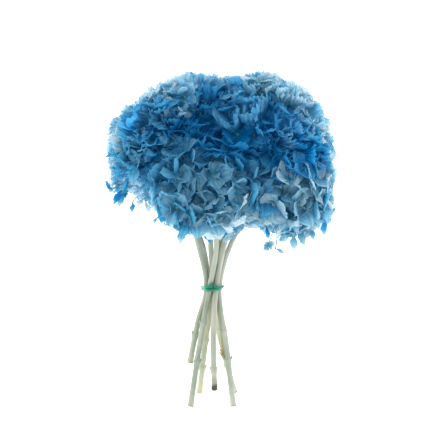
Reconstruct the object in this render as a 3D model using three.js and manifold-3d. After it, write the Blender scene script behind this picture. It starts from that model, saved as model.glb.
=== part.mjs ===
// A tied bunch of seven preserved blue hydrangeas, lying on a table.
// Millimetres, +Z up. The table is the plane z = 0 and the flower heads point to +Y.
//
// The flowers are set out in the bunch's own frame: x runs across the bunch, y along it from the
// cut ends to the heads with y = 0 at the tie, and z towards the side that faces up. That frame is
// then tipped about X until the back heads and the lowest cut end all touch the table.
import * as THREE from "three";
import { mergeVertices } from "three/addons/utils/BufferGeometryUtils.js";
import Module from "manifold-3d";

const wasm = await Module();
wasm.setup();

// Stems
const STEM_RADIUS = 3.5; // at the tie
const STEM_TAPER = 0.8; // the top's radius as a share of the foot's
const STEM_GAP = 0.45; // between neighbouring stems in the tie
const STEM_SIDES = 7;
const RING_SPACING = 34; // between the rings of points along a stem
const NODE_SWELL = 1.28; // how much a leaf node stands out
const NODE_LENGTH = 6;
const BUD_RADIUS = 1.9;
const BUD_LENGTH = 8;
const BUD_LEAN = 0.75; // how far out a bud leans for each step along the stem
const SOCKET_GAP = 0.35; // between a stem and the head round it

// Flower heads
const CORE_SHARE = 0.65; // the dense middle's radius, as a share of the head's
const CORE_CRUMPLE = 9; // how far its surface rises and falls
const SEAT_SHARE = 0.86; // where the floret centres sit
const LAYER_STEP = 7; // between the three layers that the florets stand in
const FLORET_LEAN = 0.2; // how far a floret leans off its head's radius
const FLORETS_ROUND = 32; // on a whole round head, before the hidden ones are left out
const ROOT_SHARE = 0.48; // where the florets' stalks begin
const HEAD_GAP = 0.5; // between neighbouring heads
const SEAT_OVERHANG = 3; // how far past its own side a floret may sit and still be seen
const VALLEY_FILL = 8; // how much further out florets stand beside a neighbouring head
const VALLEY_WIDTH = 30;
const PRESS = 3; // how far the table flattens the petals of a resting head
const PRESSED_ROOM = 0.86; // how near to straight down the pressed floret's neighbours may sit

// Florets
const SEPAL_LENGTH = 24;
const SHORTEST_SEPAL = 0.86; // as a share of that length
const LONGEST_SEPAL = 1.1;
const SEPAL_HALF_ANGLE = 33 * THREE.MathUtils.DEG2RAD;
const SHOULDER_SHARE = 0.8; // how far out a sepal is widest
const SEPALS = 4;
const CUP = 6; // the most that a sepal rises from its eye
const TWIST = 5.2; // the most that a sepal's two shoulders differ in height
const CURL = 7.5; // the most that two tips differ in height
const EYE_RADIUS = 3.6;
const EYE_DEPTH = 0.6;
const BLADE = 1;

// The tie
const TIE_ASIDE = 1.7; // how far right of the bunch's middle line it sits
const BAND_RADIUS = 1.15;
const BAND_GAP = 1; // between the band's inner turn and the stems
const TURN_SPREAD = 1.3; // half the step between its two turns
const LOOP_ANGLE = 0.36 * Math.PI; // where one turn rises into a small loop, up front at the right
const LOOP_RISE = 3.2;
const BULGE_ANGLE = 3 * Math.PI; // where the other bulges, at the left
const BULGE = 1.6;
const SWAY = 0.5; // how wide the loop and the bulge are, in radians
const BAND_STEPS = 40;
const BAND_SIDES = 5;

const RING_RADIUS = 2 * STEM_RADIUS + STEM_GAP;

// A small repeatable source of random numbers from 0 to 1.
function dice(seed) {
  let state = seed;
  return () => {
    state = (state * 1664525 + 1013904223) % 4294967296;
    return state / 4294967296;
  };
}

const point = (x, y, z) => new THREE.Vector3(x, y, z);

// A place in the tie: six stems stand in a ring round the seventh.
function ring(degrees) {
  const angle = degrees * THREE.MathUtils.DEG2RAD;
  return point(TIE_ASIDE + RING_RADIUS * Math.cos(angle), 0, RING_RADIUS * Math.sin(angle));
}

// Each flower: its head's centre and radius, its stem from the cut end up through the tie, and
// where the leaf nodes are, in millimetres from the cut end, with the side that each bud faces.
const FLOWERS = [
  {
    place: "upper_left",
    centre: point(-50, 173, 18),
    radius: 64,
    route: [
      point(-25, -88, -7), point(-16, -42, -3), ring(180),
      point(-17, 56, 4), point(-34, 114, 11), point(-45, 155, 16),
    ],
    nodes: [{ at: 34, side: 200 }],
  },
  {
    place: "upper_right",
    centre: point(75, 178, 6),
    radius: 65,
    route: [
      point(3.4, -117, 21), point(2.2, -50, 14), ring(60),
      point(18, 60, 5), point(42, 114, 3), point(66, 160, 5),
    ],
    nodes: [{ at: 24, side: 150 }],
  },
  {
    place: "front",
    centre: point(-4, 108, 46),
    radius: 60,
    route: [
      point(-24, -136, 12), point(-13, -62, 10), ring(120),
      point(5.5, 46, 16), point(3, 74, 30), point(-1, 94, 40),
    ],
    nodes: [{ at: 96, side: 190 }, { at: 52, side: 20 }],
  },
  {
    place: "right",
    centre: point(83, 107, 4),
    radius: 61,
    route: [
      point(25, -136, 11), point(17, -66, 9), ring(0),
      point(26.5, 58, -5), point(46, 82, -3), point(69, 98, 2),
    ],
    nodes: [{ at: 50, side: 0 }, { at: 86, side: 180 }],
  },
  {
    place: "left",
    centre: point(-58, 142, -42),
    radius: 62,
    route: [
      point(27, -125, -26), point(8, -52, -21), ring(240),
      point(-11, 50, -13), point(-32, 94, -27), point(-50, 127, -38),
    ],
    nodes: [{ at: 34, side: 340 }],
  },
  {
    place: "back",
    centre: point(38, 131, -44),
    radius: 60,
    route: [
      point(16, -83, -4), point(11.5, -42, -4.5), ring(300),
      point(11, 52, -15), point(22, 86, -27), point(33, 115, -39),
    ],
    nodes: [{ at: 8, side: 160 }],
  },
  {
    place: "top",
    centre: point(10, 183, -18),
    radius: 63,
    route: [
      point(-14, -123, -4), point(-6.5, -60, -1.5), point(TIE_ASIDE, 0, 0),
      point(-1, 50, -2), point(3, 112, -8), point(8, 166, -15),
    ],
    nodes: [{ at: 30, side: 30 }, { at: 62, side: 200 }],
  },
];

// The tilt and lift at which one flower's cut end and head both touch the table.
function layOnTable(flower) {
  const foot = flower.route[0];
  const rise = flower.centre.clone().sub(foot);
  const climb = flower.radius - PRESS - STEM_RADIUS;
  const angle = Math.asin(climb / Math.hypot(rise.y, rise.z)) - Math.atan2(rise.z, rise.y);
  const lift = STEM_RADIUS - foot.clone().applyAxisAngle(point(1, 0, 0), angle).z;
  return new THREE.Matrix4().makeRotationX(angle).setPosition(0, 0, lift);
}

const LAY = layOnTable(FLOWERS.find((flower) => flower.place === "left"));
for (const flower of FLOWERS) {
  flower.centre.applyMatrix4(LAY);
  flower.route.forEach((spot) => spot.applyMatrix4(LAY));
  flower.path = new THREE.CatmullRomCurve3(flower.route, false, "centripetal");
}

// Turns a closed geometry into a solid that can be joined and cut.
function solidOf(geometry) {
  const bare = geometry.index ? geometry.toNonIndexed() : geometry.clone();
  bare.deleteAttribute("normal");
  bare.deleteAttribute("uv");
  const merged = mergeVertices(bare, 1e-4);
  return new wasm.Manifold(
    new wasm.Mesh({
      numProp: 3,
      vertProperties: new Float32Array(merged.attributes.position.array),
      triVerts: new Uint32Array(merged.index.array),
    }),
  );
}

// The largest body of a solid, without its loose scraps and with its sealed hollows filled.
function largestBody(solid) {
  return solid.decompose().reduce((best, body) => (body.volume() > best.volume() ? body : best));
}

// The geometry of a solid, moved so that the given place is its origin.
function geometryOf(solid, place) {
  const mesh = solid.getMesh();
  const geometry = new THREE.BufferGeometry();
  geometry.setAttribute("position", new THREE.BufferAttribute(new Float32Array(mesh.vertProperties), 3));
  geometry.setIndex(new THREE.BufferAttribute(new Uint32Array(mesh.triVerts), 1));
  geometry.translate(-place.x, -place.y, -place.z);
  geometry.computeVertexNormals();
  return geometry;
}

// A stem's radius, along it from the cut end: a slow taper with a swelling at each leaf node.
function stemRadius(flower, along, length) {
  const taper = THREE.MathUtils.lerp(1, STEM_TAPER, along / length);
  const swell = flower.nodes.some((node) => Math.abs(node.at - along) < 0.1) ? NODE_SWELL : 1;
  return STEM_RADIUS * taper * swell;
}

// The distances from the cut end at which a stem has a ring of points.
function ringPlaces(flower, length) {
  const places = [];
  const count = Math.round(length / RING_SPACING);
  for (let i = 0; i <= count; i += 1) {
    places.push((i * length) / count);
  }
  const room = NODE_LENGTH * 1.2;
  const clear = places.filter((at) => flower.nodes.every((node) => Math.abs(node.at - at) > room));
  for (const { at } of flower.nodes) {
    clear.push(at - NODE_LENGTH, at, at + NODE_LENGTH / 2);
  }
  return [...new Set([0, ...clear, length])].filter((at) => at >= 0).sort((a, b) => a - b);
}

// A stem turned on a lathe along Y and then bent along its path. Grow makes it thicker and longer.
function stemSolid(flower, grow = 0) {
  const length = flower.path.getLength();
  const rings = ringPlaces(flower, length).map(
    (at) => new THREE.Vector2(stemRadius(flower, at, length) + grow, at),
  );
  const profile = [new THREE.Vector2(0, 0), ...rings, new THREE.Vector2(0, length)];
  const geometry = new THREE.LatheGeometry(profile, STEM_SIDES);
  const position = geometry.attributes.position;
  const spot = new THREE.Vector3();
  for (let i = 0; i < position.count; i += 1) {
    spot.fromBufferAttribute(position, i);
    const share = THREE.MathUtils.clamp(spot.y / length, 0, 1);
    const tangent = flower.path.getTangentAt(share);
    const side = point(1, 0, 0).addScaledVector(tangent, -tangent.x).normalize();
    const front = side.clone().cross(tangent);
    const end = share === 1 ? grow : 0;
    const bent = flower.path.getPointAt(share).addScaledVector(tangent, end);
    bent.addScaledVector(side, spot.x).addScaledVector(front, spot.z);
    position.setXYZ(i, bent.x, bent.y, bent.z);
  }
  return solidOf(geometry);
}

// A pointed bud that leans up and out from a leaf node.
function budSolid(flower, node) {
  const share = node.at / flower.path.getLength();
  const tangent = flower.path.getTangentAt(share);
  const side = point(1, 0, 0).addScaledVector(tangent, -tangent.x).normalize();
  const out = side.applyAxisAngle(tangent, node.side * THREE.MathUtils.DEG2RAD);
  const lean = tangent.clone().addScaledVector(out, BUD_LEAN).normalize();
  const cone = new THREE.ConeGeometry(BUD_RADIUS, BUD_LENGTH, 5);
  cone.applyQuaternion(new THREE.Quaternion().setFromUnitVectors(point(0, 1, 0), lean));
  const seat = flower.path.getPointAt(share).addScaledVector(out, STEM_RADIUS * 0.7);
  seat.addScaledVector(lean, BUD_LENGTH * 0.3);
  cone.translate(seat.x, seat.y, seat.z);
  return solidOf(cone);
}

// A whole stem with its buds.
function makeStem(flower) {
  return flower.nodes.reduce((stem, node) => stem.add(budSolid(flower, node)), stemSolid(flower));
}

// The outline of a floret that faces +Z: four pointed sepals, each with the notch before it.
function floretOutline(draw) {
  const at = (angle, radius, height) => point(radius * Math.cos(angle), radius * Math.sin(angle), height);
  const spin = draw() * Math.PI;
  const outline = [];
  for (let sepal = 0; sepal < SEPALS; sepal += 1) {
    const heading = spin + (sepal * 2 * Math.PI) / SEPALS;
    const reach = SEPAL_LENGTH * THREE.MathUtils.lerp(SHORTEST_SEPAL, LONGEST_SEPAL, draw());
    const shoulder = reach * SHOULDER_SHARE;
    const cup = THREE.MathUtils.lerp(0.5, CUP, draw());
    const twist = TWIST * (draw() - 0.5);
    const curl = CURL * (draw() - 0.6);
    outline.push(
      at(heading - Math.PI / SEPALS, EYE_RADIUS, 0),
      at(heading - SEPAL_HALF_ANGLE, shoulder, cup + twist),
      at(heading, reach, cup + curl),
      at(heading + SEPAL_HALF_ANGLE, shoulder, cup - twist),
    );
  }
  return outline;
}

// The triangles of a floret: a front face, a back face split alike so that the blade keeps its
// thickness, and the edge between them. Each face's last point is its middle.
function floretTriangles() {
  const points = 4 * SEPALS;
  const back = points + 1;
  const triangles = [];
  for (let notch = 0; notch < points; notch += 4) {
    const [shoulder, tip, far] = [notch + 1, notch + 2, notch + 3];
    const next = (notch + 4) % points;
    const faces = [[notch, shoulder, tip], [notch, tip, next], [next, tip, far], [notch, next, points]];
    for (const [a, b, c] of faces) {
      triangles.push(a, b, c, a + back, c + back, b + back);
    }
    for (const [a, b] of [[notch, shoulder], [shoulder, tip], [tip, far], [far, next]]) {
      triangles.push(a, a + back, b + back, a, b + back, b);
    }
  }
  return new Uint32Array(triangles);
}

const FLORET_TRIANGLES = floretTriangles();

// A floret on its head, with a stalk down to its root. What would go through the table is pressed
// flat on it.
function floretSolid(draw, seat, outward, rootDepth) {
  const turn = new THREE.Quaternion().setFromUnitVectors(point(0, 0, 1), outward);
  const outline = floretOutline(draw);
  const place = (spot) => spot.applyQuaternion(turn).add(seat);
  const front = [...outline.map((spot) => spot.clone()), point(0, 0, -EYE_DEPTH)].map(place);
  const back = [...outline.map((spot) => spot.setZ(spot.z - BLADE)), point(0, 0, -rootDepth)].map(place);
  front.forEach((spot) => spot.setZ(Math.max(spot.z, 0)));
  back.forEach((spot) => spot.setZ(Math.max(spot.z, BLADE)));
  const vertProperties = new Float32Array([...front, ...back].flatMap((spot) => spot.toArray()));
  return new wasm.Manifold(new wasm.Mesh({ numProp: 3, vertProperties, triVerts: FLORET_TRIANGLES }));
}

// Whether two heads are close enough to press against each other.
function isNear(flower, other) {
  return flower.centre.distanceTo(other.centre) < flower.radius + other.radius + 2 * SEPAL_LENGTH;
}

// The flat side that a head shares with a neighbour: the way to it and how far off it is.
function sharedSide(flower, other) {
  const way = other.centre.clone().sub(flower.centre);
  const distance = way.length();
  way.normalize();
  const share = distance / 2 + (flower.radius ** 2 - other.radius ** 2) / (2 * distance);
  return { way, reach: share - HEAD_GAP / 2 };
}

// A large block that fills everything past the side shared with a neighbour.
function beyondSide(flower, other) {
  const { way, reach } = sharedSide(flower, other);
  const size = 4 * flower.radius;
  const block = new THREE.BoxGeometry(size, size, size);
  block.applyQuaternion(new THREE.Quaternion().setFromUnitVectors(point(0, 0, 1), way));
  const middle = flower.centre.clone().addScaledVector(way, reach + size / 2);
  block.translate(middle.x, middle.y, middle.z);
  return solidOf(block);
}

// Evenly spread directions, on a spiral from one pole to the other.
function spiralDirection(index, count) {
  const golden = Math.PI * (3 - Math.sqrt(5));
  const height = 1 - (2 * (index + 0.5)) / count;
  const across = Math.sqrt(1 - height * height);
  return point(across * Math.cos(golden * index), across * Math.sin(golden * index), height);
}

// A head's dense middle, with the rough surface of petals packed close together.
function coreSolid(flower, draw) {
  const core = new THREE.IcosahedronGeometry(flower.radius * CORE_SHARE, 1);
  core.deleteAttribute("normal");
  core.deleteAttribute("uv");
  const rough = mergeVertices(core, 1e-3);
  const position = rough.attributes.position;
  const spot = new THREE.Vector3();
  for (let i = 0; i < position.count; i += 1) {
    spot.fromBufferAttribute(position, i);
    spot.setLength(spot.length() + (i % 2 === 0 ? 1 : -1) * CORE_CRUMPLE * draw());
    spot.add(flower.centre);
    position.setXYZ(i, spot.x, spot.y, spot.z);
  }
  return solidOf(rough);
}

// Where a head's florets go: each one's way out from the head's middle, how far out it sits and
// whether it is the one pressed flat under a resting head. Hidden ones are left out.
function floretSeats(flower, neighbours, turn) {
  const seats = [];
  const resting = flower.centre.z < flower.radius;
  const sides = neighbours.map((other) => sharedSide(flower, other));
  for (let index = 0; index < FLORETS_ROUND; index += 1) {
    const direction = spiralDirection(index, FLORETS_ROUND).applyQuaternion(turn);
    const reach = flower.radius * SEAT_SHARE + LAYER_STEP * ((index % 3) - 1);
    const past = Math.max(...sides.map((side) => reach * direction.dot(side.way) - side.reach));
    const fill = VALLEY_FILL * THREE.MathUtils.smoothstep(past, -VALLEY_WIDTH, 0);
    const underneath = resting && direction.z < -PRESSED_ROOM;
    if (past < SEAT_OVERHANG && !underneath) {
      seats.push({ direction, reach: reach + fill, pressed: false });
    }
  }
  if (resting) {
    seats.push({ direction: point(0, 0, -1), reach: flower.centre.z + EYE_DEPTH, pressed: true });
  }
  return seats;
}

// A head: a dense middle with florets all over what shows of it, cut back from its neighbours
// and from every stem.
function makeHead(flower, order) {
  const draw = dice(71 + 977 * order);
  const neighbours = FLOWERS.filter((other) => other !== flower && isNear(flower, other));
  const turn = new THREE.Quaternion().setFromEuler(new THREE.Euler(6 * draw(), 6 * draw(), 6 * draw()));
  let head = coreSolid(flower, draw);
  for (const { direction, reach, pressed } of floretSeats(flower, neighbours, turn)) {
    const seat = flower.centre.clone().addScaledVector(direction, reach);
    const lean = point(draw() - 0.5, draw() - 0.5, draw() - 0.5).multiplyScalar(2 * FLORET_LEAN);
    const outward = pressed ? direction : direction.clone().add(lean).normalize();
    const rootDepth = reach - flower.radius * ROOT_SHARE;
    head = head.add(floretSolid(draw, seat, outward, rootDepth));
  }
  for (const other of neighbours) {
    head = head.subtract(beyondSide(flower, other));
  }
  for (const other of FLOWERS) {
    head = head.subtract(stemSolid(other, SOCKET_GAP));
  }
  return largestBody(head);
}

// The band's line: one loop wound twice round the stems, its two turns side by side, with one
// turn lifted into a small loop in front and bulging at the left.
class BandLine extends THREE.Curve {
  getPoint(share, target = new THREE.Vector3()) {
    const angle = 4 * Math.PI * share;
    const cross = angle / 2;
    const hexagon = THREE.MathUtils.lerp(Math.cos(Math.PI / 6), 1, 0.5 + 0.5 * Math.cos(6 * angle));
    const near = (at) => Math.exp(-(((angle - at) / SWAY) ** 2));
    const wrap = RING_RADIUS * hexagon + STEM_RADIUS + BAND_GAP + BAND_RADIUS;
    const radius = wrap + TURN_SPREAD * (1 + Math.cos(cross)) + BULGE * near(BULGE_ANGLE);
    const height = TURN_SPREAD * Math.sin(cross) + LOOP_RISE * near(LOOP_ANGLE);
    return target.set(TIE_ASIDE + radius * Math.cos(angle), height, radius * Math.sin(angle));
  }
}

// The green band, as a closed tube.
function makeBand() {
  const tube = new THREE.TubeGeometry(new BandLine(), BAND_STEPS, BAND_RADIUS, BAND_SIDES, true);
  return solidOf(tube.applyMatrix4(LAY));
}

const PETAL_DEEP = new THREE.MeshStandardMaterial({ color: 0x2f6fa3, roughness: 0.8, metalness: 0 });
const PETAL_PALE = new THREE.MeshStandardMaterial({ color: 0x6f9fc0, roughness: 0.8, metalness: 0 });
const STEM_GREEN = new THREE.MeshStandardMaterial({ color: 0xb9c4a8, roughness: 0.6, metalness: 0 });
const BAND_GREEN = new THREE.MeshStandardMaterial({ color: 0x2f9f7c, roughness: 0.35, metalness: 0 });
const PALE_HEADS = ["front", "right"];

// A named mesh of a solid, placed at its own natural point.
function meshOf(name, solid, place, material) {
  const mesh = new THREE.Mesh(geometryOf(solid, place), material);
  mesh.name = name;
  mesh.position.copy(place);
  return mesh;
}

const bunch = new THREE.Group();
bunch.name = "hydrangea_bunch";
FLOWERS.forEach((flower, order) => {
  const petals = PALE_HEADS.includes(flower.place) ? PETAL_PALE : PETAL_DEEP;
  bunch.add(meshOf(`head_${flower.place}`, makeHead(flower, order), flower.centre, petals));
  bunch.add(meshOf(`stem_${flower.place}`, makeStem(flower), flower.path.getPointAt(0), STEM_GREEN));
});
bunch.add(meshOf("tie_band", makeBand(), point(TIE_ASIDE, 0, 0).applyMatrix4(LAY), BAND_GREEN));

// The origin is under the middle of the bunch, on the table.
const extent = new THREE.Box3().setFromObject(bunch);
bunch.position.set(-(extent.min.x + extent.max.x) / 2, -(extent.min.y + extent.max.y) / 2, 0);

export default bunch;
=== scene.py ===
"""A tied bunch of preserved blue hydrangeas, lying on a pale table.

The flowers are set out in the bunch's own frame: x across the bunch, y along it from the cut ends
to the heads with y = 0 at the tie, and z towards the side that faces up. Their sizes are given in
millimetres and modelled in metres. Each finished piece is then tipped with the bunch, until two
heads and one cut end touch the table.
"""

import logging
import math
import random
from collections.abc import Callable, Sequence
from dataclasses import dataclass, field
from enum import Enum

import bmesh
import bpy
import numpy as np
from mathutils import Matrix, Vector


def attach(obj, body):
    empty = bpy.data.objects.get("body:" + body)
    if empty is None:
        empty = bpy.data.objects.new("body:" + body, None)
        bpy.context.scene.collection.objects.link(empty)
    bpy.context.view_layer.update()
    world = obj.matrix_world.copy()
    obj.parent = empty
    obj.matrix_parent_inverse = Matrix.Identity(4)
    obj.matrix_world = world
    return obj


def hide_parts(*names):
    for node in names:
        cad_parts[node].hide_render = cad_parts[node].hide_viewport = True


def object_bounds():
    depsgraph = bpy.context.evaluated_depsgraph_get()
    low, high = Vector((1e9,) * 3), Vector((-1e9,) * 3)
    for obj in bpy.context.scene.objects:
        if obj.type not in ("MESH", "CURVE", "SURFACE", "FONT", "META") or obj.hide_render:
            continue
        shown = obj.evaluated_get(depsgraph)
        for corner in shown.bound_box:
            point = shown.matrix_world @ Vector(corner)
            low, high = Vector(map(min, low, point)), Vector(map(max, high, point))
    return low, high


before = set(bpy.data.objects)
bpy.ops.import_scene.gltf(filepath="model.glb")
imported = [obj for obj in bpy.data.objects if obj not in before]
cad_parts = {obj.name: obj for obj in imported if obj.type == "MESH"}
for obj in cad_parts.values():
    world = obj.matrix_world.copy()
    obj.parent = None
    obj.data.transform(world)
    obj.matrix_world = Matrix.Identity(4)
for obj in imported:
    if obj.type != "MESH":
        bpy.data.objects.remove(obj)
CAD_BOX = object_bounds()

log = logging.getLogger("hydrangea_bunch")

MM = 0.001
GOLDEN_ANGLE = math.pi * (3 - math.sqrt(5))

Piece = bpy.types.Object
Range = tuple[float, float]
Rgb = tuple[float, float, float]
Spot = tuple[float, float, float]


class Bloom(Enum):
    """How a floret holds its four sepals, or that only one is left."""

    OPEN = "open"
    CUPPED = "cupped"
    CRUMPLED = "crumpled"
    FAN = "fan"
    LONE = "lone"


class Blue(Enum):
    """The colours of the petals, as linear colours: the blues of their dyeing, of which INK and DEEP also
    serve as painted shade and MILK as painted light.
    """

    INK = (0.001, 0.180, 0.380)
    DEEP = (0.001, 0.270, 0.520)
    ROYAL = (0.004, 0.330, 0.640)
    AZURE = (0.050, 0.300, 0.600)
    SKY = (0.120, 0.430, 0.640)
    SLATE = (0.150, 0.320, 0.410)
    TEAL = (0.060, 0.260, 0.340)
    MIST = (0.240, 0.420, 0.520)
    PALE = (0.410, 0.550, 0.575)
    MILK = (0.690, 0.735, 0.715)


# The stems at the tie: their radius, the gap between two, and the tie's place and its ring's radius.
STEM_RADIUS = 3.5
STEM_GAP = 0.45
TIE_ASIDE = 1.7
TIE_RING = 2 * STEM_RADIUS + STEM_GAP

# How deep the heads sink in where they rest, and how far they stay apart.
PRESS = 3.0
HEAD_GAP = 0.5

# Where the bunch lies on the table, and what the camera aims at from how far off.
BUNCH_ASIDE = -16.272
BUNCH_BACK = -58.658
CAMERA_AIM = (4.0, 82.8, 0.0)
CAMERA_DISTANCE = 1648.0


def ring(degrees: float) -> Spot:
    """Gives a place in the tie, where six stems stand round the seventh.

    Args:
        degrees: The angle round the tie, from the bunch's right towards its upper side.

    Returns:
        The place in the bunch's frame, in millimetres.
    """
    angle = math.radians(degrees)
    return (TIE_ASIDE + TIE_RING * math.cos(angle), 0.0, TIE_RING * math.sin(angle))


# How common each kind of floret is in a head.
RUFFLED = {Bloom.OPEN: 0.08, Bloom.CUPPED: 0.30, Bloom.CRUMPLED: 0.20, Bloom.FAN: 0.42}
SPREAD = {Bloom.OPEN: 0.66, Bloom.CUPPED: 0.26, Bloom.CRUMPLED: 0.08}


@dataclass(frozen=True)
class Flower:
    """One flower: its head, its stem's route from the cut end, and its leaf nodes.

    A leaf node is its distance from the cut end, its bud's angle round the stem, and that bud's length.
    """

    name: str
    seed: int
    centre: Spot
    radius: float
    route: tuple[Spot, ...]
    leaf_nodes: tuple[Spot, ...]
    blues: dict[Blue, float]
    blooms: dict[Bloom, float] = field(default_factory=lambda: RUFFLED)
    slot: str = "petals_deep"
    sepal: float = 21


FLOWERS = (
    Flower(
        name="upper_left",
        seed=100,
        centre=(-50, 173, 18),
        radius=64,
        route=((-25, -88, -7), (-16, -42, -3), ring(180), (-17, 56, 4), (-34, 114, 11), (-45, 155, 16)),
        leaf_nodes=((34, 200, 5),),
        blues={Blue.ROYAL: 0.20, Blue.DEEP: 0.25, Blue.SLATE: 0.20, Blue.SKY: 0.35},
    ),
    Flower(
        name="upper_right",
        seed=81,
        centre=(75, 178, 6),
        radius=65,
        route=((3.4, -117, 21), (2.2, -50, 14), ring(60), (18, 60, 5), (42, 114, 3), (66, 160, 5)),
        leaf_nodes=((24, 150, 5),),
        blues={Blue.ROYAL: 0.20, Blue.SKY: 0.50, Blue.PALE: 0.30},
    ),
    Flower(
        name="front",
        seed=122,
        slot="petals_pale",
        centre=(-4, 108, 46),
        radius=60,
        route=((-24, -136, 12), (-13, -62, 10), ring(120), (5.5, 46, 16), (3, 74, 30), (-1, 94, 40)),
        leaf_nodes=((96, 190, 5), (52, 20, 5)),
        sepal=25,
        blues={Blue.SLATE: 0.80, Blue.MIST: 0.10, Blue.TEAL: 0.10},
        blooms=SPREAD,
    ),
    Flower(
        name="right",
        seed=83,
        slot="petals_pale",
        centre=(83, 107, 4),
        radius=61,
        route=((25, -136, 11), (17, -66, 9), ring(0), (26.5, 58, -5), (46, 82, -3), (69, 98, 2)),
        leaf_nodes=((54, 0, 5), (54, 180, 14), (86, 180, 5)),
        sepal=24,
        blues={Blue.SLATE: 0.50, Blue.SKY: 0.15, Blue.PALE: 0.35},
        blooms=SPREAD,
    ),
    Flower(
        name="left",
        seed=144,
        centre=(-58, 142, -42),
        radius=62,
        route=((27, -125, -26), (8, -52, -21), ring(240), (-11, 50, -13), (-32, 94, -27), (-50, 127, -38)),
        leaf_nodes=((34, 340, 5),),
        blues={Blue.SKY: 0.15, Blue.TEAL: 0.20, Blue.PALE: 0.10, Blue.MIST: 0.15, Blue.SLATE: 0.40},
    ),
    Flower(
        name="back",
        seed=45,
        centre=(38, 131, -44),
        radius=60,
        route=((16, -83, -4), (11.5, -42, -4.5), ring(300), (11, 52, -15), (22, 86, -27), (33, 115, -39)),
        leaf_nodes=((8, 160, 5),),
        blues={Blue.ROYAL: 0.45, Blue.TEAL: 0.20, Blue.SKY: 0.35},
    ),
    Flower(
        name="top",
        seed=106,
        centre=(10, 183, -18),
        radius=63,
        route=(
            (-14, -123, -4), (-6.5, -60, -1.5), (TIE_ASIDE, 0, 0), (-1, 50, -2), (3, 112, -8), (8, 166, -15),
        ),
        leaf_nodes=((30, 30, 5), (62, 200, 5)),
        blues={Blue.ROYAL: 0.45, Blue.SKY: 0.40, Blue.PALE: 0.15},
    ),
)


@dataclass(frozen=True)
class Wash:
    """A patch of the heads, seen from above, that lies deeper or whose colour is laid over: partly colour
    that took unevenly in the dyeing, partly painted light and shade.
    """

    middle: tuple[float, float]
    size: tuple[float, float]
    blue: Blue
    strength: float
    depth: float = 0.0

    def share(self, spot: Vector) -> float:
        """Gives how much of the patch's colour a floret has.

        Args:
            spot: The floret's place, in millimetres.

        Returns:
            The share, from 0 to 1.
        """
        across = (spot.x - self.middle[0]) / self.size[0]
        along = (spot.y - self.middle[1]) / self.size[1]
        return 1 - smoothstep(math.hypot(across, along), 0.45, 1.15)


# Each lies over the ones before it. The pale patches, at the hems, the rims and the tops of the heads, are
# partly painted light; the dark INK and DEEP patches in the sunken valleys are painted shade.
WASHES = (
    Wash((102, 203), (48, 42), Blue.SKY, 0.5),
    Wash((122, 184), (26, 28), Blue.SKY, 0.8),
    Wash((108, 202), (34, 30), Blue.PALE, 0.6),
    Wash((76, 188), (26, 20), Blue.ROYAL, 0.75),
    Wash((19, 201), (26, 20), Blue.SKY, 0.5, -4),
    Wash((-22, 184), (32, 30), Blue.INK, 0.95, 13),
    Wash((-8, 163), (28, 26), Blue.DEEP, 0.85, 4),
    Wash((27, 158), (36, 30), Blue.DEEP, 0.9, 4),
    Wash((92, 146), (50, 22), Blue.ROYAL, 0.9),
    Wash((60, 148), (32, 18), Blue.INK, 0.75, 6),
    Wash((9, 219), (13, 30), Blue.INK, 0.95, 9),
    Wash((58, 204), (13, 26), Blue.INK, 0.85, 10),
    Wash((-40, 226), (30, 14), Blue.SKY, 0.6),
    Wash((-28, 220), (15, 16), Blue.PALE, 0.7, -4),
    Wash((-30, 203), (16, 6), Blue.MILK, 0.8, -4),
    Wash((-8, 234), (12, 14), Blue.PALE, 0.8),
    Wash((42, 226), (8, 20), Blue.PALE, 0.7, -3),
    Wash((34, 196), (30, 22), Blue.SKY, 0.7),
    Wash((90, 226), (44, 18), Blue.PALE, 0.9),
    Wash((66, 246), (26, 12), Blue.MILK, 0.6),
    Wash((-66, 222), (28, 12), Blue.PALE, 0.45),
    Wash((-36, 243), (34, 11), Blue.MILK, 0.7),
    Wash((-112, 168), (16, 28), Blue.MILK, 0.75),
    Wash((-88, 142), (46, 38), Blue.SLATE, 0.8),
    Wash((137, 176), (14, 38), Blue.PALE, 0.8),
    Wash((126, 148), (16, 16), Blue.AZURE, 0.95),
    Wash((102, 122), (36, 6), Blue.MILK, 0.7),
    Wash((124, 126), (22, 16), Blue.PALE, 0.5),
    Wash((104, 106), (38, 14), Blue.PALE, 0.4),
    Wash((0, 64), (50, 20), Blue.PALE, 0.9),
    Wash((-6, 60), (46, 16), Blue.MILK, 0.7),
    Wash((84, 80), (46, 7), Blue.PALE, 0.5),
    Wash((90, 58), (60, 14), Blue.MILK, 0.6),
    Wash((44, 80), (22, 20), Blue.MILK, 0.8),
    Wash((56, 74), (24, 14), Blue.MILK, 0.8),
    Wash((66, 92), (22, 10), Blue.MILK, 0.6),
    Wash((24, 62), (20, 14), Blue.MILK, 0.7),
    Wash((-84, 106), (36, 15), Blue.PALE, 0.7),
    Wash((-84, 112), (32, 12), Blue.MILK, 0.5),
    Wash((-56, 88), (20, 22), Blue.SLATE, 0.6),
    Wash((-110, 116), (18, 11), Blue.AZURE, 0.95),
    Wash((36, 118), (14, 20), Blue.TEAL, 0.7, 8),
)

EDGE = (
    (-127, 120), (-119, 135), (-122, 150), (-121, 168), (-116, 186), (-110, 200), (-100, 208),
    (-88, 214), (-74, 225), (-66, 233), (-50, 239), (-38, 243), (-28, 247), (0, 246), (20, 244),
    (38, 244), (66, 250), (77, 246), (88, 239), (100, 234), (111, 226), (120, 217), (127, 206),
    (132, 196), (137, 182), (140, 169), (145, 155), (142, 142), (145, 128), (140, 112), (144, 98),
    (145, 88), (139, 82), (137, 66), (130, 60), (124, 66), (114, 58), (104, 52), (92, 50),
    (84, 60), (76, 57), (70, 67), (63, 60), (53, 66), (48, 78), (42, 66), (34, 68), (24, 60), (12, 54),
    (0, 54), (-12, 57), (-26, 59), (-36, 54), (-42, 64), (-52, 71), (-60, 80), (-66, 93),
    (-75, 98), (-84, 103), (-92, 104), (-100, 108), (-108, 98), (-114, 102), (-119, 110),
)


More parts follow.
